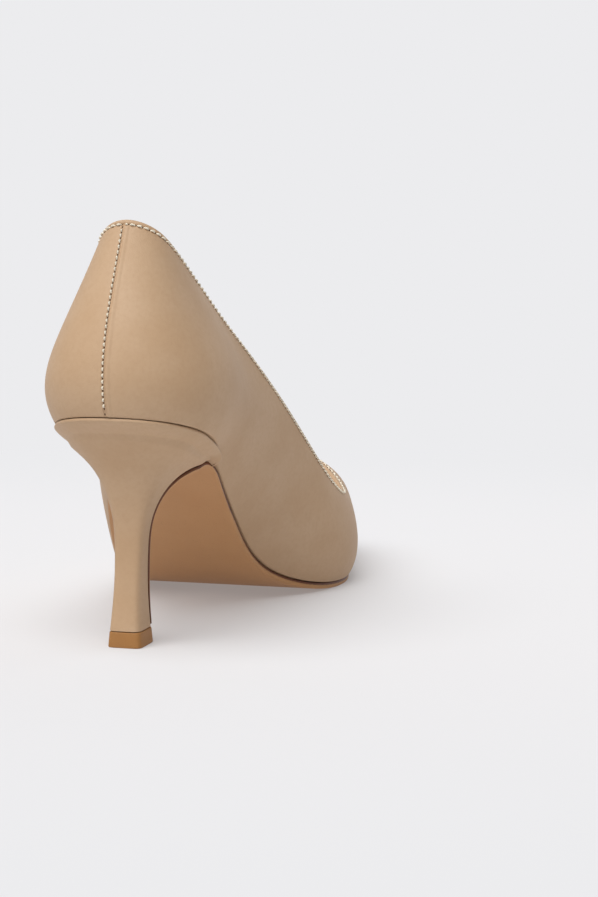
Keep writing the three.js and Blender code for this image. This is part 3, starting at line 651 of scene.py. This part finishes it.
def foam():
    """Latex foam: cream, with open cells of several sizes."""
    f = Finish("latex_foam")
    cells = f.step(f.cells(0.6), 0.1, 0.4)
    wide = f.step(f.cells(1.7), 0.05, 0.22)
    # Painted shade: darker in the hollows of the open cells, the small ones and the wide ones.
    f.dye(cells, "cdbf9d", "eee5cf")
    f.dye(wide, "b9a882", f.colour)
    f.bump(cells, 0.12)
    f.bump(wide, 0.2)
    return f.shade(f.step(cells, -3, 1.3), Sheen_Weight=0.15)


def steel():
    """Drawn mild steel with fine lines along it and a faint blue bloom of oil."""
    f = Finish("mild_steel")
    lines = f.noise(0.3, 3, stretch=(1, 0.04, 0.3))
    f.dye(f.noise(6, 3), "a9adb1", "bcbfc0")
    f.tinge(f.step(f.noise(4, 4), 0.62, 0.8), "8f8780")
    f.bump(lines, 0.01)
    return f.shade(f.spread(lines, 0.28, 0.45), Metallic=1.0)


def thread():
    """Bonded cotton thread: cream, with its three plies turning round it and a soft fuzz."""
    f = Finish("cotton_thread")
    along, around = f.map_pair("plies")
    turn = f.maths("ADD", f.maths("MULTIPLY", along, 6.0), f.maths("MULTIPLY", around, 3.0))
    ply = f.wave(f.maths("MULTIPLY", turn, math.pi))
    # Painted shade: darker in the grooves between the plies.
    f.dye(f.step(ply, 0.0, 0.6), "ecdcbd", "fff6e2")
    f.tinge(f.noise(0.8, 3), "f2e2c4", 0.2)
    f.bump(ply, 0.04)
    return f.shade(f.step(ply, -3, 1.4), Sheen_Weight=0.25)


calf = upper_leather()
heel_calf = upper_leather("heel_cover_nude", stitched=False)
pigskin = lining_leather()
sock_calf = sock_leather()
sole_hide = sole_leather()
rubber = lift_rubber()
styrene = heel_plastic()
stiffener = stiffener_board()
cloth = backing_cloth()
board = fibreboard()
ground_cork = cork()
latex = foam()
mild_steel = steel()
cotton = thread()


# ---- The upper ----

def seam_speed(rise):
    """Millimetres round the shoe at the back seam for one unit of place."""
    return np.linalg.norm(wall(0.004, rise) - wall(-0.004, rise), axis=-1) / 0.008


def seam_distance(u, rise):
    """Millimetres round the shoe from the back seam, positive on the inner side."""
    return (np.mod(u + 0.5, 1) - 0.5) * seam_speed(rise)


seam_row = -0.85  # the seam's stitches, on the outer side of its ridge


def seam_relief(u, rise):
    """The closed back seam: a rounded ridge of pressed allowance 0.24 mm high on the inner side, a groove
    0.16 mm deep along the seam, and a furrow 0.2 mm deep under the row of stitches beside it."""
    d = seam_distance(u, rise)
    ridge = 0.24 * smooth((d + 0.15) / 0.35) * smooth((1.75 - d) / 1.1)
    furrow = 0.2 * np.exp(-((d - seam_row) / 0.42) ** 2) + 0.16 * np.exp(-((d + 0.1) / 0.22) ** 2)
    return (ridge - furrow) * smooth((1 - rise) / 0.03)


def stitch_relief(below):
    """The stitch row pulls the wall in by 0.16 mm, and the folded edge above it stands 0.1 mm proud."""
    return 0.1 * smooth((1.5 - below) / 1.2) - 0.16 * np.exp(-((below - stitch_margin) / 0.5) ** 2)


def upper_skin():
    """The upper in one closed skin: a profile carried round the shoe. It runs up the wall with rises that
    close up towards both ends, over the folded edge on a half circle, down the inner face, whose depth
    eases from the fold's thickness to the leather's, and under the bottom as the lasting margin."""
    near_seam = np.linspace(0, 0.0075, 25)[:-1]
    far = np.linspace(0.0075, 0.5, 300)
    u = np.concatenate([near_seam, far, 1 - far[-2::-1], 1 - near_seam[:0:-1]])
    centre_rise = below_topline(u, fold_radius)
    share = np.concatenate([[0.004, 0.012, 0.025], np.linspace(0.045, 0.9, 58), np.linspace(0.91, 1, 22)])
    rise = share[:, None] * centre_rise
    below = (1 - rise) * edge_speed(u)
    relief = seam_relief(u[None, :], rise) + stitch_relief(below)
    wall_rows = under_wall(u[None, :], rise, -relief)
    angles = np.linspace(0, math.pi, 14)[1:, None, None]
    middle = under_wall(u, centre_rise, fold_radius - stitch_relief(fold_radius))
    out = wall_normal(u, centre_rise)
    up = unit(wall(u, centre_rise + 0.005) - wall(u, centre_rise - 0.005))
    fold_rows = middle + fold_radius * (np.cos(angles) * out + np.sin(angles) * up)
    inner_share = np.array([0.985, 0.965, 0.94, 0.9, 0.8, 0.65, 0.45, 0.28, 0.14, 0.05])[:, None]
    depth = mix(upper_thickness, 2 * fold_radius, smooth((inner_share - 0.88) / 0.1))
    inner_rows = under_wall(u[None, :], inner_share * centre_rise, depth + 0 * u)
    margins_in = np.array([1.3, 4, lasting_margin])[:, None]
    margin_rows = [on_bottom(pulled_in(u, m), upper_low + upper_thickness) for m in margins_in]
    margins_out = np.array([lasting_margin, 6, 3, 1.2, 0.35])[:, None]
    margin_rows += [on_bottom(pulled_in(u, m), upper_low) for m in margins_out]
    points = np.concatenate([wall_rows, fold_rows, inner_rows, margin_rows])
    faces = grid_faces(*points.shape[:2], wrap_rows=True, wrap_across=True)

    # Distances below the topline, carried on over the fold and into the inside.
    over = np.concatenate([below, fold_radius * (1 - angles[..., 0]) + 0 * u])
    rest = np.full((len(points) - len(over), len(u)), -9.0)
    over = np.concatenate([over, rest])
    length = distance_along(wall(u, below_topline(u, stitch_margin)))
    stitches = round(length[-1] / stitch_pitch)
    count = np.broadcast_to(length / length[-1] * stitches, over.shape)
    topline_map = np.stack([wrapped(count, faces, stitches), (over - stitch_margin).ravel()[faces]], -1)
    full_rise = np.concatenate([rise, np.ones((len(points) - len(rise), len(u)))])
    down = down_the_seam(full_rise)
    across = seam_distance(u[None, :], np.clip(full_rise, 0.02, 0.98)) - seam_row
    across = np.where(full_rise < 0.985, across, 9.0)
    seam_map = np.stack([down.ravel()[faces], across.ravel()[faces]], -1)
    piece("upper", points.reshape(-1, 3), [faces], calf, replaces=("upper", "topline_tape"),
          maps={"topline": [topline_map], "back_seam": [seam_map]}, crease=70)


def wrapped(values, faces, turn):
    """Values at the corners of faces, with a turn added to the low ones of a face that crosses the seam."""
    corner = np.asarray(values).ravel()[faces]
    return corner + turn * (corner.max(1, keepdims=True) - corner > turn / 2)


seam_rises = np.linspace(0, 1, 400)
seam_length = distance_along(wall(0, seam_rises))


def down_the_seam(rise):
    """Stitches counted down the back seam from the topline."""
    return (seam_length[-1] - np.interp(rise, seam_rises, seam_length)) / seam_stitch_pitch


upper_skin()


# ---- Layers inside the upper ----

def layer(name, start, end, rises, thickness, material, slot, depth=under_upper, margins=(), height=0,
          columns=160, crease=50):
    """A layer bonded inside the wall, from one place round the shoe to another: rows under the bottom at
    each margin and rows up the wall at each rise, its last row drawn in to half its thickness so that the
    edge is rounded. A cloth map gives millimetres along and across it."""
    u = np.linspace(start, end, columns)
    outer = [on_bottom(pulled_in(u, margin), height) for margin in margins]
    inner = [on_bottom(pulled_in(u, margin), height + thickness) for margin in margins]
    rounding = np.zeros(len(rises))
    rounding[-1] = 0.25
    for rise, ease in zip(rises, rounding):
        up = rise(u) if callable(rise) else np.full_like(u, rise)
        sunk = depth(u, up) if callable(depth) else depth
        outer.append(under_wall(u, up, sunk + ease * thickness))
        inner.append(under_wall(u, up, sunk + (1 - ease) * thickness))
    outer, inner = np.array(outer), np.array(inner)
    points, faces = between(outer, inner)
    along, up_wall = distance_along(outer[-1]), distance_along(outer[:, columns // 2])
    flat = np.stack(np.broadcast_arrays(along[None, :], up_wall[:, None]), -1).reshape(-1, 2)
    flat = np.concatenate([flat, flat])
    piece(name, points, faces, material, maps={"cloth": [flat[faces[0]]]}, crease=crease)


def rises_to(top, count):
    """Rises from just above the feather line to a top, closing up towards it."""
    return [*np.linspace(0.06, top - 0.02, count), top - 0.006, top]


stiff = (stiffener_thickness, stiffener, "stiffener")
woven = (interlining_thickness, cloth, "backing_cloth")
layer("heel_counter", -counter_end, counter_end, rises_to(counter_top, 30), *stiff)
layer("toe_puff", puff_start, 1 - puff_start, rises_to(puff_top, 24), *stiff)
layer("interlining_medial", 0.197, 0.4, rises_to(0.82, 30), *woven)
layer("interlining_lateral", 0.6, 0.803, rises_to(0.82, 30), *woven)
layer("back_seam_tape", -0.02, 0.02, np.linspace(0.66, 0.82, 24), seam_tape_thickness, cloth, "backing_cloth",
      columns=40)


def lining_rises():
    """Rises of the lining, ending just under the folded edge's inner side."""
    low_rises = list(np.linspace(0.05, 0.93, 56))
    return [*low_rises, *[lambda u, d=d: below_topline(u, d) for d in (2.4, 1.6, 1.0, 0.7, 0.55)]]


grip_end, quarter_end, lining_join = 0.06, 0.328, 0.0006
for lining_name, lining_start, lining_stop, lining_columns in (
    ("heel_grip", -grip_end, grip_end, 110),
    ("quarter_lining_medial", grip_end, quarter_end, 200),
    ("vamp_lining", quarter_end, 1 - quarter_end, 300),
    ("quarter_lining_lateral", 1 - quarter_end, 1 - grip_end, 200),
):
    layer(lining_name, lining_start + lining_join, lining_stop - lining_join, lining_rises(),
          lining_thickness, pigskin, "lining_leather", depth=lining_depth, margins=(lining_margin, 5, 3.4),
          height=lining_low, columns=lining_columns, crease=60)


# ---- Sheets of the bottom ----

def bottom_grid(places, inset, height, across=33):
    """A sheet across the last: at each place a straight line between the two feather lines, drawn in by an
    inset, at a height above the lasted bottom that is a function of the place and the share across."""
    share = np.linspace(0, 1, across)
    inner = (feather(places) - outward(places) * inset)[:, None]
    outer = (feather(1 - places) - outward(1 - places) * inset)[:, None]
    plan = inner + (outer - inner) * share[None, :, None]
    return on_bottom(plan, height(places[:, None], share[None, :]))


def rounded_edge(places, share, start, end, drop):
    """A drop that grows towards a sheet's ends, over 0.012 of place, and towards its sides, over a
    twentieth of its width."""
    along = np.minimum(places - start, end - places) / 0.012
    across = np.minimum(share, 1 - share) / 0.05
    return drop * (1 - smooth(np.minimum(along, across)))


def pad_lift(places):
    """How far the sock rises over the pads: their thickness, easing to nothing beside them."""
    over = [smooth(1 - np.maximum(start - places, places - end) / easing) for start, end in pads.values()]
    return np.maximum(*over) * (pad_thickness + gap)


def foam_pad(name, start, end):
    """A foam pad: flat below, and above a low crown that falls off towards its skived edges."""
    places = np.linspace(start, end, 60)

    def crown(place, share):
        along = np.clip(np.minimum(place - start, end - place) / 0.02, 0, 1)
        across = np.clip(np.minimum(share, 1 - share) / 0.2, 0, 1)
        edge = np.sqrt(1 - (1 - np.minimum(along, across)) ** 2)
        return sock_low + pad_thickness * (0.25 + 0.75 * edge)

    top = bottom_grid(places, sheet_inset + 4, crown, across=41)
    base = bottom_grid(places, sheet_inset + 4, lambda p, s: sock_low + 0 * p * s, across=41)
    points, faces = between(top, base)
    pad = piece(name, points, faces, latex)


for pad_name, (pad_start, pad_end) in pads.items():
    foam_pad(pad_name, pad_start, pad_end)


def sock():
    """The sock: a calf sheet over the insole board, lifted by the pads, its cut edge slightly rounded."""
    start, end = 0.004, 0.496
    places = np.linspace(start, end, 260)
    inset = sheet_inset + 0.5

    def top(place, share):
        return sock_low + sock_thickness + pad_lift(place) - rounded_edge(place, share, start, end, 0.35)

    points, faces = between(
        bottom_grid(places, inset, top, across=61),
        bottom_grid(places, inset, lambda p, s: sock_low + pad_lift(p) + 0 * s, across=61),
    )
    piece("sock_lining", points, faces, sock_calf)


sock()


# ---- Heel ----

block_low = top_lift_height + gap
block_height = heel_height - block_low
section_curve = through_points(np.linspace(0, 1, len(heel_sections)), heel_sections)
heel_rim = 0.9  # how far under the lasted bottom the heel's sides begin
breast_shift = 1.6  # the breast corners lie this much to the outer side
heel_turn = math.pi / 15  # one step round the heel
cover_end = 12 * heel_turn  # the cover's edges lie under the flap, this far round from the back
lip_roll = 0.35  # how far the lip stands out from the heel's side
lip_depth = 0.45  # the lip's lower edge, below the rim
lip_fade = math.radians(40)  # the lip flattens over this stretch before the cover's edges
lip_slope = 20  # how fast the heel falls away under the lip, in mm for one unit of down


def power(value, exponent):
    """A power of the size of a value."""
    return np.abs(value) ** exponent


def heel_face(angle, down):
    """The heel's outer face. Each section is a rounded square whose squareness eases from front to back:
    (|sin|^n + |cos|^n)^(-1/n). Its back and front have heights and distances of their own, and near the
    seat the face is lifted to lie just under the lasted bottom."""
    angle, down = np.broadcast_arrays(np.asarray(angle, float), np.asarray(down, float))
    back_share, back_y, front_share, front_y, half, centre, back_square, front_square = np.moveaxis(
        section_curve(down), -1, 0)
    s, c = np.sin(angle), np.cos(angle)
    square = mix(front_square, back_square, 0.5 * (1 + np.tanh(3 * c)))
    radius = (power(s, square) + power(c, square)) ** (-1 / square)
    forward = 0.5 * (1 - radius * c)
    x = centre + half * radius * s - breast_shift * forward * np.clip(1 - 3 * down, 0, 1)
    y = mix(back_y, front_y, forward)
    seat = bottom_z(y)
    section_z = block_low + mix(back_share, front_share, forward) * block_height
    z = section_z + np.maximum(0, seat - section_z) * np.clip(1 - 6 * down, 0, 1)
    z = np.minimum(np.where(section_z > seat, seat, z), seat - heel_rim)
    return np.stack([x, y, z], -1)


def heel_normal(angle, down):
    """The heel face's outward normal: its direction down crossed with its direction round."""
    place = np.clip(down, 0.05, 0.99)
    around = heel_face(angle + 0.02, place) - heel_face(angle - 0.02, place)
    along = heel_face(angle, place + 0.01) - heel_face(angle, place - 0.01)
    return unit(np.cross(along, around))


def plan_normal(angle):
    """The outward normal in plan round the top of the heel."""
    around = heel_face(angle + 0.02, 0) - heel_face(angle - 0.02, 0)
    return unit(np.stack([around[..., 1], -around[..., 0], 0 * around[..., 0]], -1))


def heel_cover():
    """The heel's leather: a lip that rolls out on a half sine between the seat and the rim, then the heel's
    face down to the top lift, which leaves the lip on a steady slope except towards the breast, and the
    same face sunk by the leather's thickness."""
    angles = np.linspace(-cover_end, cover_end, 193)
    top = heel_face(angles, 0)
    plan_out = plan_normal(angles)
    seat = bottom_z(top[:, 1])
    lip_share = smooth((cover_end - np.abs(angles)) / lip_fade)
    lip_rows = []
    for t in np.linspace(0, 1, 9):
        row = top + plan_out * (lip_roll * math.sin(math.pi * t) ** 0.8)
        row[:, 2] = seat - mix(gap / 2, heel_rim + lip_depth * lip_share, t)
        lip_rows.append(row)
    downs = np.concatenate([np.linspace(0.012, 0.12, 20), np.linspace(0.13, 0.985, 96), [0.994, 1]])
    face_rows = [heel_face(angles, down) for down in downs]
    for down, row in zip(downs, face_rows):
        drop = lip_depth + 0.05 + lip_slope * down
        row[:, 2] = np.minimum(row[:, 2], seat_limit(row, heel_rim + drop * lip_share))
    outer = np.array(lip_rows + face_rows)
    inner_lip = [
        sunk_heel(angles, 0, heel_cover_thickness, gap / 2 + t * heel_rim) for t in np.linspace(0, 1, 9)
    ]
    inner_face = [sunk_heel(angles, down, heel_cover_thickness, heel_rim) for down in downs]
    points, faces = between(outer, np.array(inner_lip + inner_face))
    piece("heel_cover", points, faces, heel_calf, crease=60)


def seat_limit(points, clearance):
    """The height that keeps a clearance under the lasted bottom."""
    return bottom_z(points[..., 1]) - clearance


def sunk_heel(angle, down, depth, clearance):
    """The heel's face sunk by a depth, kept a clearance below the lasted bottom."""
    normal = plan_normal(angle) if down == 0 else heel_normal(angle, down)
    points = heel_face(angle, down) - normal * depth
    points[..., 2] = np.minimum(points[..., 2], seat_limit(points, clearance))
    return points


heel_cover()


def top_lift():
    """The top lift: a rounded rectangle, |sin|^7 + |cos|^7 = 1, in rings that taper to the heel and turn in
    on quarter circles at the top and bottom edges, around a flat face on the floor."""
    angles = np.linspace(0, 2 * math.pi, 161)[:-1]
    s, c = np.sin(angles), np.cos(angles)
    radius = (power(s, 7) + power(c, 7)) ** (-1 / 7)
    bevel, taper = 0.4, 0.35
    turn = np.linspace(0, math.pi / 2, 6)
    low_edge = [(bevel * (1 - math.sin(a)), bevel * (1 - math.cos(a))) for a in turn]
    high_edge = [(taper + shrink, top_lift_height - drop) for drop, shrink in low_edge]
    middle = [(taper * t, mix(bevel, top_lift_height - bevel, t)) for t in (0.25, 0.5, 0.75)]
    inner_low = [(3.5, 0), (1.6, 0)]
    inner_high = [(1.6, top_lift_height), (3.5, top_lift_height)]
    rings = np.array([
        np.stack([
            tip[0] + (top_lift_width / 2 - shrink) * radius * s,
            tip[1] - (top_lift_length / 2 - shrink) * radius * c,
            np.full_like(s, height),
        ], -1)
        for shrink, height in [*inner_low, *low_edge, *middle, *high_edge, *inner_high]
    ])
    points, faces = capped(rings)
    piece("top_lift", points, faces, rubber, crease=60)


top_lift()


# ---- Outsole ----

breast_place = 0.193  # where round the shoe the sole leaves the lasted bottom
sole_inset = 0.4
flap_reach = (3.15, 4)  # steps round the heel from its front to the flap's edges, at the seat and below it
flap_end_share = 0.45  # the flap's thickness at the top lift, as a share of its own


def sole_ring(half_width, thickness):
    """The sole's section as pairs of share across, -1 to 1, and share of thickness up, 0 to 1: a flat
    bottom, quarter circles at its two edges, and the top, whose edges are turned in less."""
    low_turn = min(0.75, 0.45 * thickness, half_width / 3)
    high_turn = 0.3 * low_turn
    arc = np.linspace(0, math.pi / 2, 6)[1:]
    flat = np.linspace(-1, 1, 29) * (1 - low_turn / half_width)
    across = [
        flat, 1 - low_turn / half_width * (1 - np.sin(arc)), 1 - high_turn / half_width * (1 - np.cos(arc)),
    ]
    up = [0 * flat, low_turn / thickness * (1 - np.cos(arc)), 1 - high_turn / thickness * (1 - np.sin(arc))]
    top = np.linspace(1, -1, 15)[1:-1] * (1 - high_turn / half_width)
    mirrored_across = [-across[2][::-1], -across[1][::-1][:-1]]
    mirrored_up = [up[2][::-1], up[1][::-1][:-1]]
    across = np.concatenate([*across, top, *mirrored_across])
    up = np.concatenate([*up, 1 + 0 * top, *mirrored_up])
    return across, up


def outsole():
    """The sole as rings carried from the toe along the bottom and down the heel breast, each the section
    above laid between its upper and lower surface, with a smooth curve through the rings along the sole.
    Down the breast the section stands forward of the heel, so its edges stay level with the heel's sides."""
    toe_places = 0.5 - 0.06 * np.linspace(0, 1, 40)[1:] ** 2
    places = np.concatenate([toe_places, np.linspace(0.436, breast_place, 90)])
    rings, burnish = [], []
    for u in places:
        inner = feather(u) - outward(u) * sole_inset
        outer = feather(1 - u) - outward(1 - u) * sole_inset
        thickness = mix(flap_thickness, sole_thickness, np.clip((u - breast_place) / 0.06, 0, 1))
        across, up = sole_ring(np.linalg.norm(outer - inner) / 2, thickness)
        plan = mix(inner, outer, (across[:, None] + 1) / 2)
        rings.append(on_bottom(plan, sole_top - thickness * (1 - up)))
        burnish.append(edge_share(across, up))
    for down in np.concatenate([np.linspace(0.06, 0.12, 3), np.linspace(0.15, 0.994, 43)]):
        turns = mix(*flap_reach, np.clip(down * 4, 0, 1))
        ends = heel_face(math.pi + np.array([-1, 1]) * turns * heel_turn, down)
        across, up = sole_ring(np.linalg.norm(ends[1] - ends[0]) / 2, flap_thickness)
        angle = math.pi + across * turns * heel_turn
        thinning = mix(1, flap_end_share, smooth((down - 0.75) / 0.23))
        depth = gap + flap_thickness * thinning * (1 - up)
        forward = unit(heel_normal(angle, down) * (0.2, 1, 1))
        rings.append(heel_face(angle, down) + forward * depth[:, None])
        burnish.append(edge_share(across, up))
    rings, burnish = np.array(rings), np.array(burnish)
    travel = distance_along(rings.mean(1))
    breast = len(places) - 1
    kept = np.r_[0:breast - 2, breast - 2, breast + 3:len(rings)]
    rows = np.concatenate([rings.reshape(len(rings), -1), burnish], 1)
    curve = through_points(travel[kept], rows[kept])
    stations = np.concatenate([
        travel[:breast - 2], np.linspace(travel[breast - 2], travel[breast + 3], 14), travel[breast + 4:],
    ])
    values = curve(stations)
    rings = values[:, :burnish.shape[1] * 3].reshape(len(stations), -1, 3)
    rings[..., 2] = np.maximum(rings[..., 2], 0)
    end = rings[-1] + 0.18 * unit(rings[-1] - rings[-2])
    rings = np.concatenate([rings, [mix(end, end.mean(0), 0.05)]])
    burnish = np.clip(values[:, burnish.shape[1] * 3:], 0, 1)
    burnish = np.concatenate([burnish, np.ones_like(burnish[:1])])
    points, faces = capped(rings)
    piece("outsole", points, faces, sole_hide,
          edges=np.concatenate([burnish.ravel(), [1, 1]]), crease=60)


def edge_share(across, up):
    """1 on the upper part of the sole's cut edge and 0 on its faces and on the turned lower corner."""
    return smooth((1 - np.abs(up - 0.7) * 2.6) / 0.3) * (np.abs(across) > 0.5)


outsole()


# ---- Stitching ----

def stitches(name, starts, ends, outs, lift=0.16):
    """A row of thread segments, each a small tube from one needle hole to the next: six-sided rings whose
    centres rise on a parabola and whose ends dive into the leather."""
    along_share = np.linspace(-1, 1, 6)[:, None, None]
    angle = np.linspace(0, 2 * math.pi, 7)[:-1][None, :, None]
    along = (ends - starts) / 2
    side = unit(np.cross(outs, along))
    radius = thread_radius * np.sqrt(1 - 0.55 * along_share**4)
    rise = thread_radius * (0.95 - 1.75 * along_share**4) + lift * (1 - along_share**2)
    every = (slice(None), None, None)
    points = (
        ((starts + ends) / 2)[every] + along[every] * along_share
        + outs[every] * (rise + radius * np.cos(angle)) + side[every] * radius * np.sin(angle)
    )
    count = len(points)
    one_faces = capped(points[0])[1]
    ends_at = points[:, [0, -1]].mean(2)
    points = np.concatenate([points.reshape(count, -1, 3), ends_at], 1)
    offsets = (np.arange(count) * points.shape[1])[:, None, None]
    faces = [(face[None] + offsets).reshape(-1, face.shape[1]) for face in one_faces]
    one_map = np.stack(np.broadcast_arrays(along_share[..., 0], angle[..., 0] / (2 * math.pi)), -1)
    one_map = one_map.reshape(-1, 2)
    one_map = np.tile(np.concatenate([one_map, [[-1, 0], [1, 0]]]), (count, 1))
    maps = {"plies": [one_map[face] for face in faces]}
    piece(name, points.reshape(-1, 3), faces, cotton, maps=maps, crease=180)


def even_places(points, values, pitch):
    """A function of a shift that gives values at equal steps of about a pitch along a line of points."""
    length = distance_along(points)
    count = round(length[-1] / pitch)
    return lambda shift: np.interp((np.arange(count) + shift) * length[-1] / count, length, values)


def topline_stitching():
    """A row of stitches round the topline, a margin below the folded edge."""
    u = np.linspace(0, 1, 4000)
    place = even_places(wall(u, below_topline(u, stitch_margin)), u, stitch_pitch)
    start, middle, end = (np.mod(place(shift), 1) for shift in (-0.4, 0, 0.4))
    starts, ends = (under_wall(at, below_topline(at, stitch_margin), 0.1) for at in (start, end))
    outs = wall_normal(middle, below_topline(middle, stitch_margin))
    stitches("topline_stitching", starts, ends, outs)


def back_seam_stitching():
    """A row of short stitches down the outer side of the back seam, from the topline to the seat."""
    rises = np.linspace(0.955, 0.03, 400)
    count = down_the_seam(rises)
    wanted = np.arange(math.ceil(count[0]), math.floor(count[-1]))
    ends = []
    for shift in (-0.33, 0.33, 0):
        rise = np.interp(wanted + shift, count, rises)
        u = np.mod(seam_row / seam_speed(rise), 1)
        ends.append((under_wall(u, rise, 0.14), wall_normal(u, rise)))
    stitches("back_seam_stitching", ends[0][0], ends[1][0], ends[2][1], lift=0.12)


topline_stitching()
back_seam_stitching()


# ---- Carried-over pieces of the frame ----

kept_finishes = {
    "insole_board": board, "shank_board": board, "steel_shank": mild_steel, "bottom_filler": ground_cork,
    "heel_core": styrene, "heel_dowel": mild_steel, "heel_screw": mild_steel, "top_lift_pin": mild_steel,
    "shank_rivet_1": mild_steel, "shank_rivet_2": mild_steel,
    **{f"heel_nail_{k}": mild_steel for k in (1, 2, 3, 4)},
}
for node_name, node_finish in kept_finishes.items():
    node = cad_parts[node_name]
    node.data.materials.clear()
    node.data.materials.append(node_finish)


# ---- Studio ----

def floor():
    """A pale sweep: flat under the shoe, then a quarter circle up to a wall behind, extruded sideways. Near
    the shoe most of its brightness is light that falls on it; further off it glows like a lit screen."""
    depth, radius, width, height = 2.2, 1.2, 6.0, 4.0
    turn = np.linspace(0, math.pi / 2, 24)
    y = np.concatenate([[-3.0, 0.0], depth + radius * np.sin(turn), [depth + radius]])
    z = np.concatenate([[0.0, 0.0], radius * (1 - np.cos(turn)), [height]])
    grid = np.stack([np.stack([np.full_like(y, x), y, z], -1) for x in (-width, width)])
    f = Finish("sweep_paper")
    from_shoe = f.add("VectorMath", {0: f.coords, 1: (0.0, 0.09, 0.0)}, operation="DISTANCE").outputs["Value"]
    glow_share = f.maths("ADD", 0.25, f.maths("MULTIPLY", f.step(from_shoe, 0.16, 0.42), 0.75))
    diffuse = f.add("BsdfDiffuse", {"Color": tint("e2e1e2")})
    glow = f.add("Emission", {"Color": tint("ececee"), "Strength": 1.0})
    share = f.add("MixShader", {0: glow_share, 1: diffuse.outputs[0], 2: glow.outputs[0]})
    f.add("OutputMaterial", {"Surface": share.outputs[0]})
    faces = grid_faces(*grid.shape[:2]).tolist()
    made = placed("floor", smooth_mesh("floor", grid.reshape(-1, 3), faces, f.material))


def aim(made, direction):
    """Points a light or a camera along a direction, upright."""
    made.rotation_mode = "QUATERNION"
    made.rotation_quaternion = Vector(direction).to_track_quat("-Z", "Y")


def key_light():
    """A broad, distant key light, 60 degrees across, from above the viewer and a little to the left."""
    data = bpy.data.lights.new("key", "SUN")
    data.energy = 3.25
    data.angle = math.radians(60)
    aim(placed("key", data), (0.15, 0.55, -1.0))


def studio():
    """The sweep, the key light, and a dim pale sky."""
    floor()
    key_light()
    world = bpy.data.worlds.new("studio_sky")
    world.use_nodes = True
    background = world.node_tree.nodes["Background"]
    background.inputs["Color"].default_value = tint("f4f4f6")
    background.inputs["Strength"].default_value = 0.15
    bpy.context.scene.world = world
    bpy.context.scene.view_settings.view_transform = "Standard"
    bpy.context.scene.view_settings.look = "None"


def camera():
    """The view from behind the heel, a little to its inner side: turned 16 degrees and looking down by 7,
    from 0.9 m away."""
    data = bpy.data.cameras.new("camera")
    data.sensor_fit = "VERTICAL"
    data.sensor_width = 36
    data.sensor_height = 36
    data.lens = 105.4
    made = placed("camera", data)
    made.location = (0.2771, -0.7727, 0.1639)
    turn, dip = math.radians(16), math.radians(7.05)
    aim(made, (-math.sin(turn) * math.cos(dip), math.cos(turn) * math.cos(dip), -math.sin(dip)))
    bpy.context.scene.camera = made


studio()
camera()
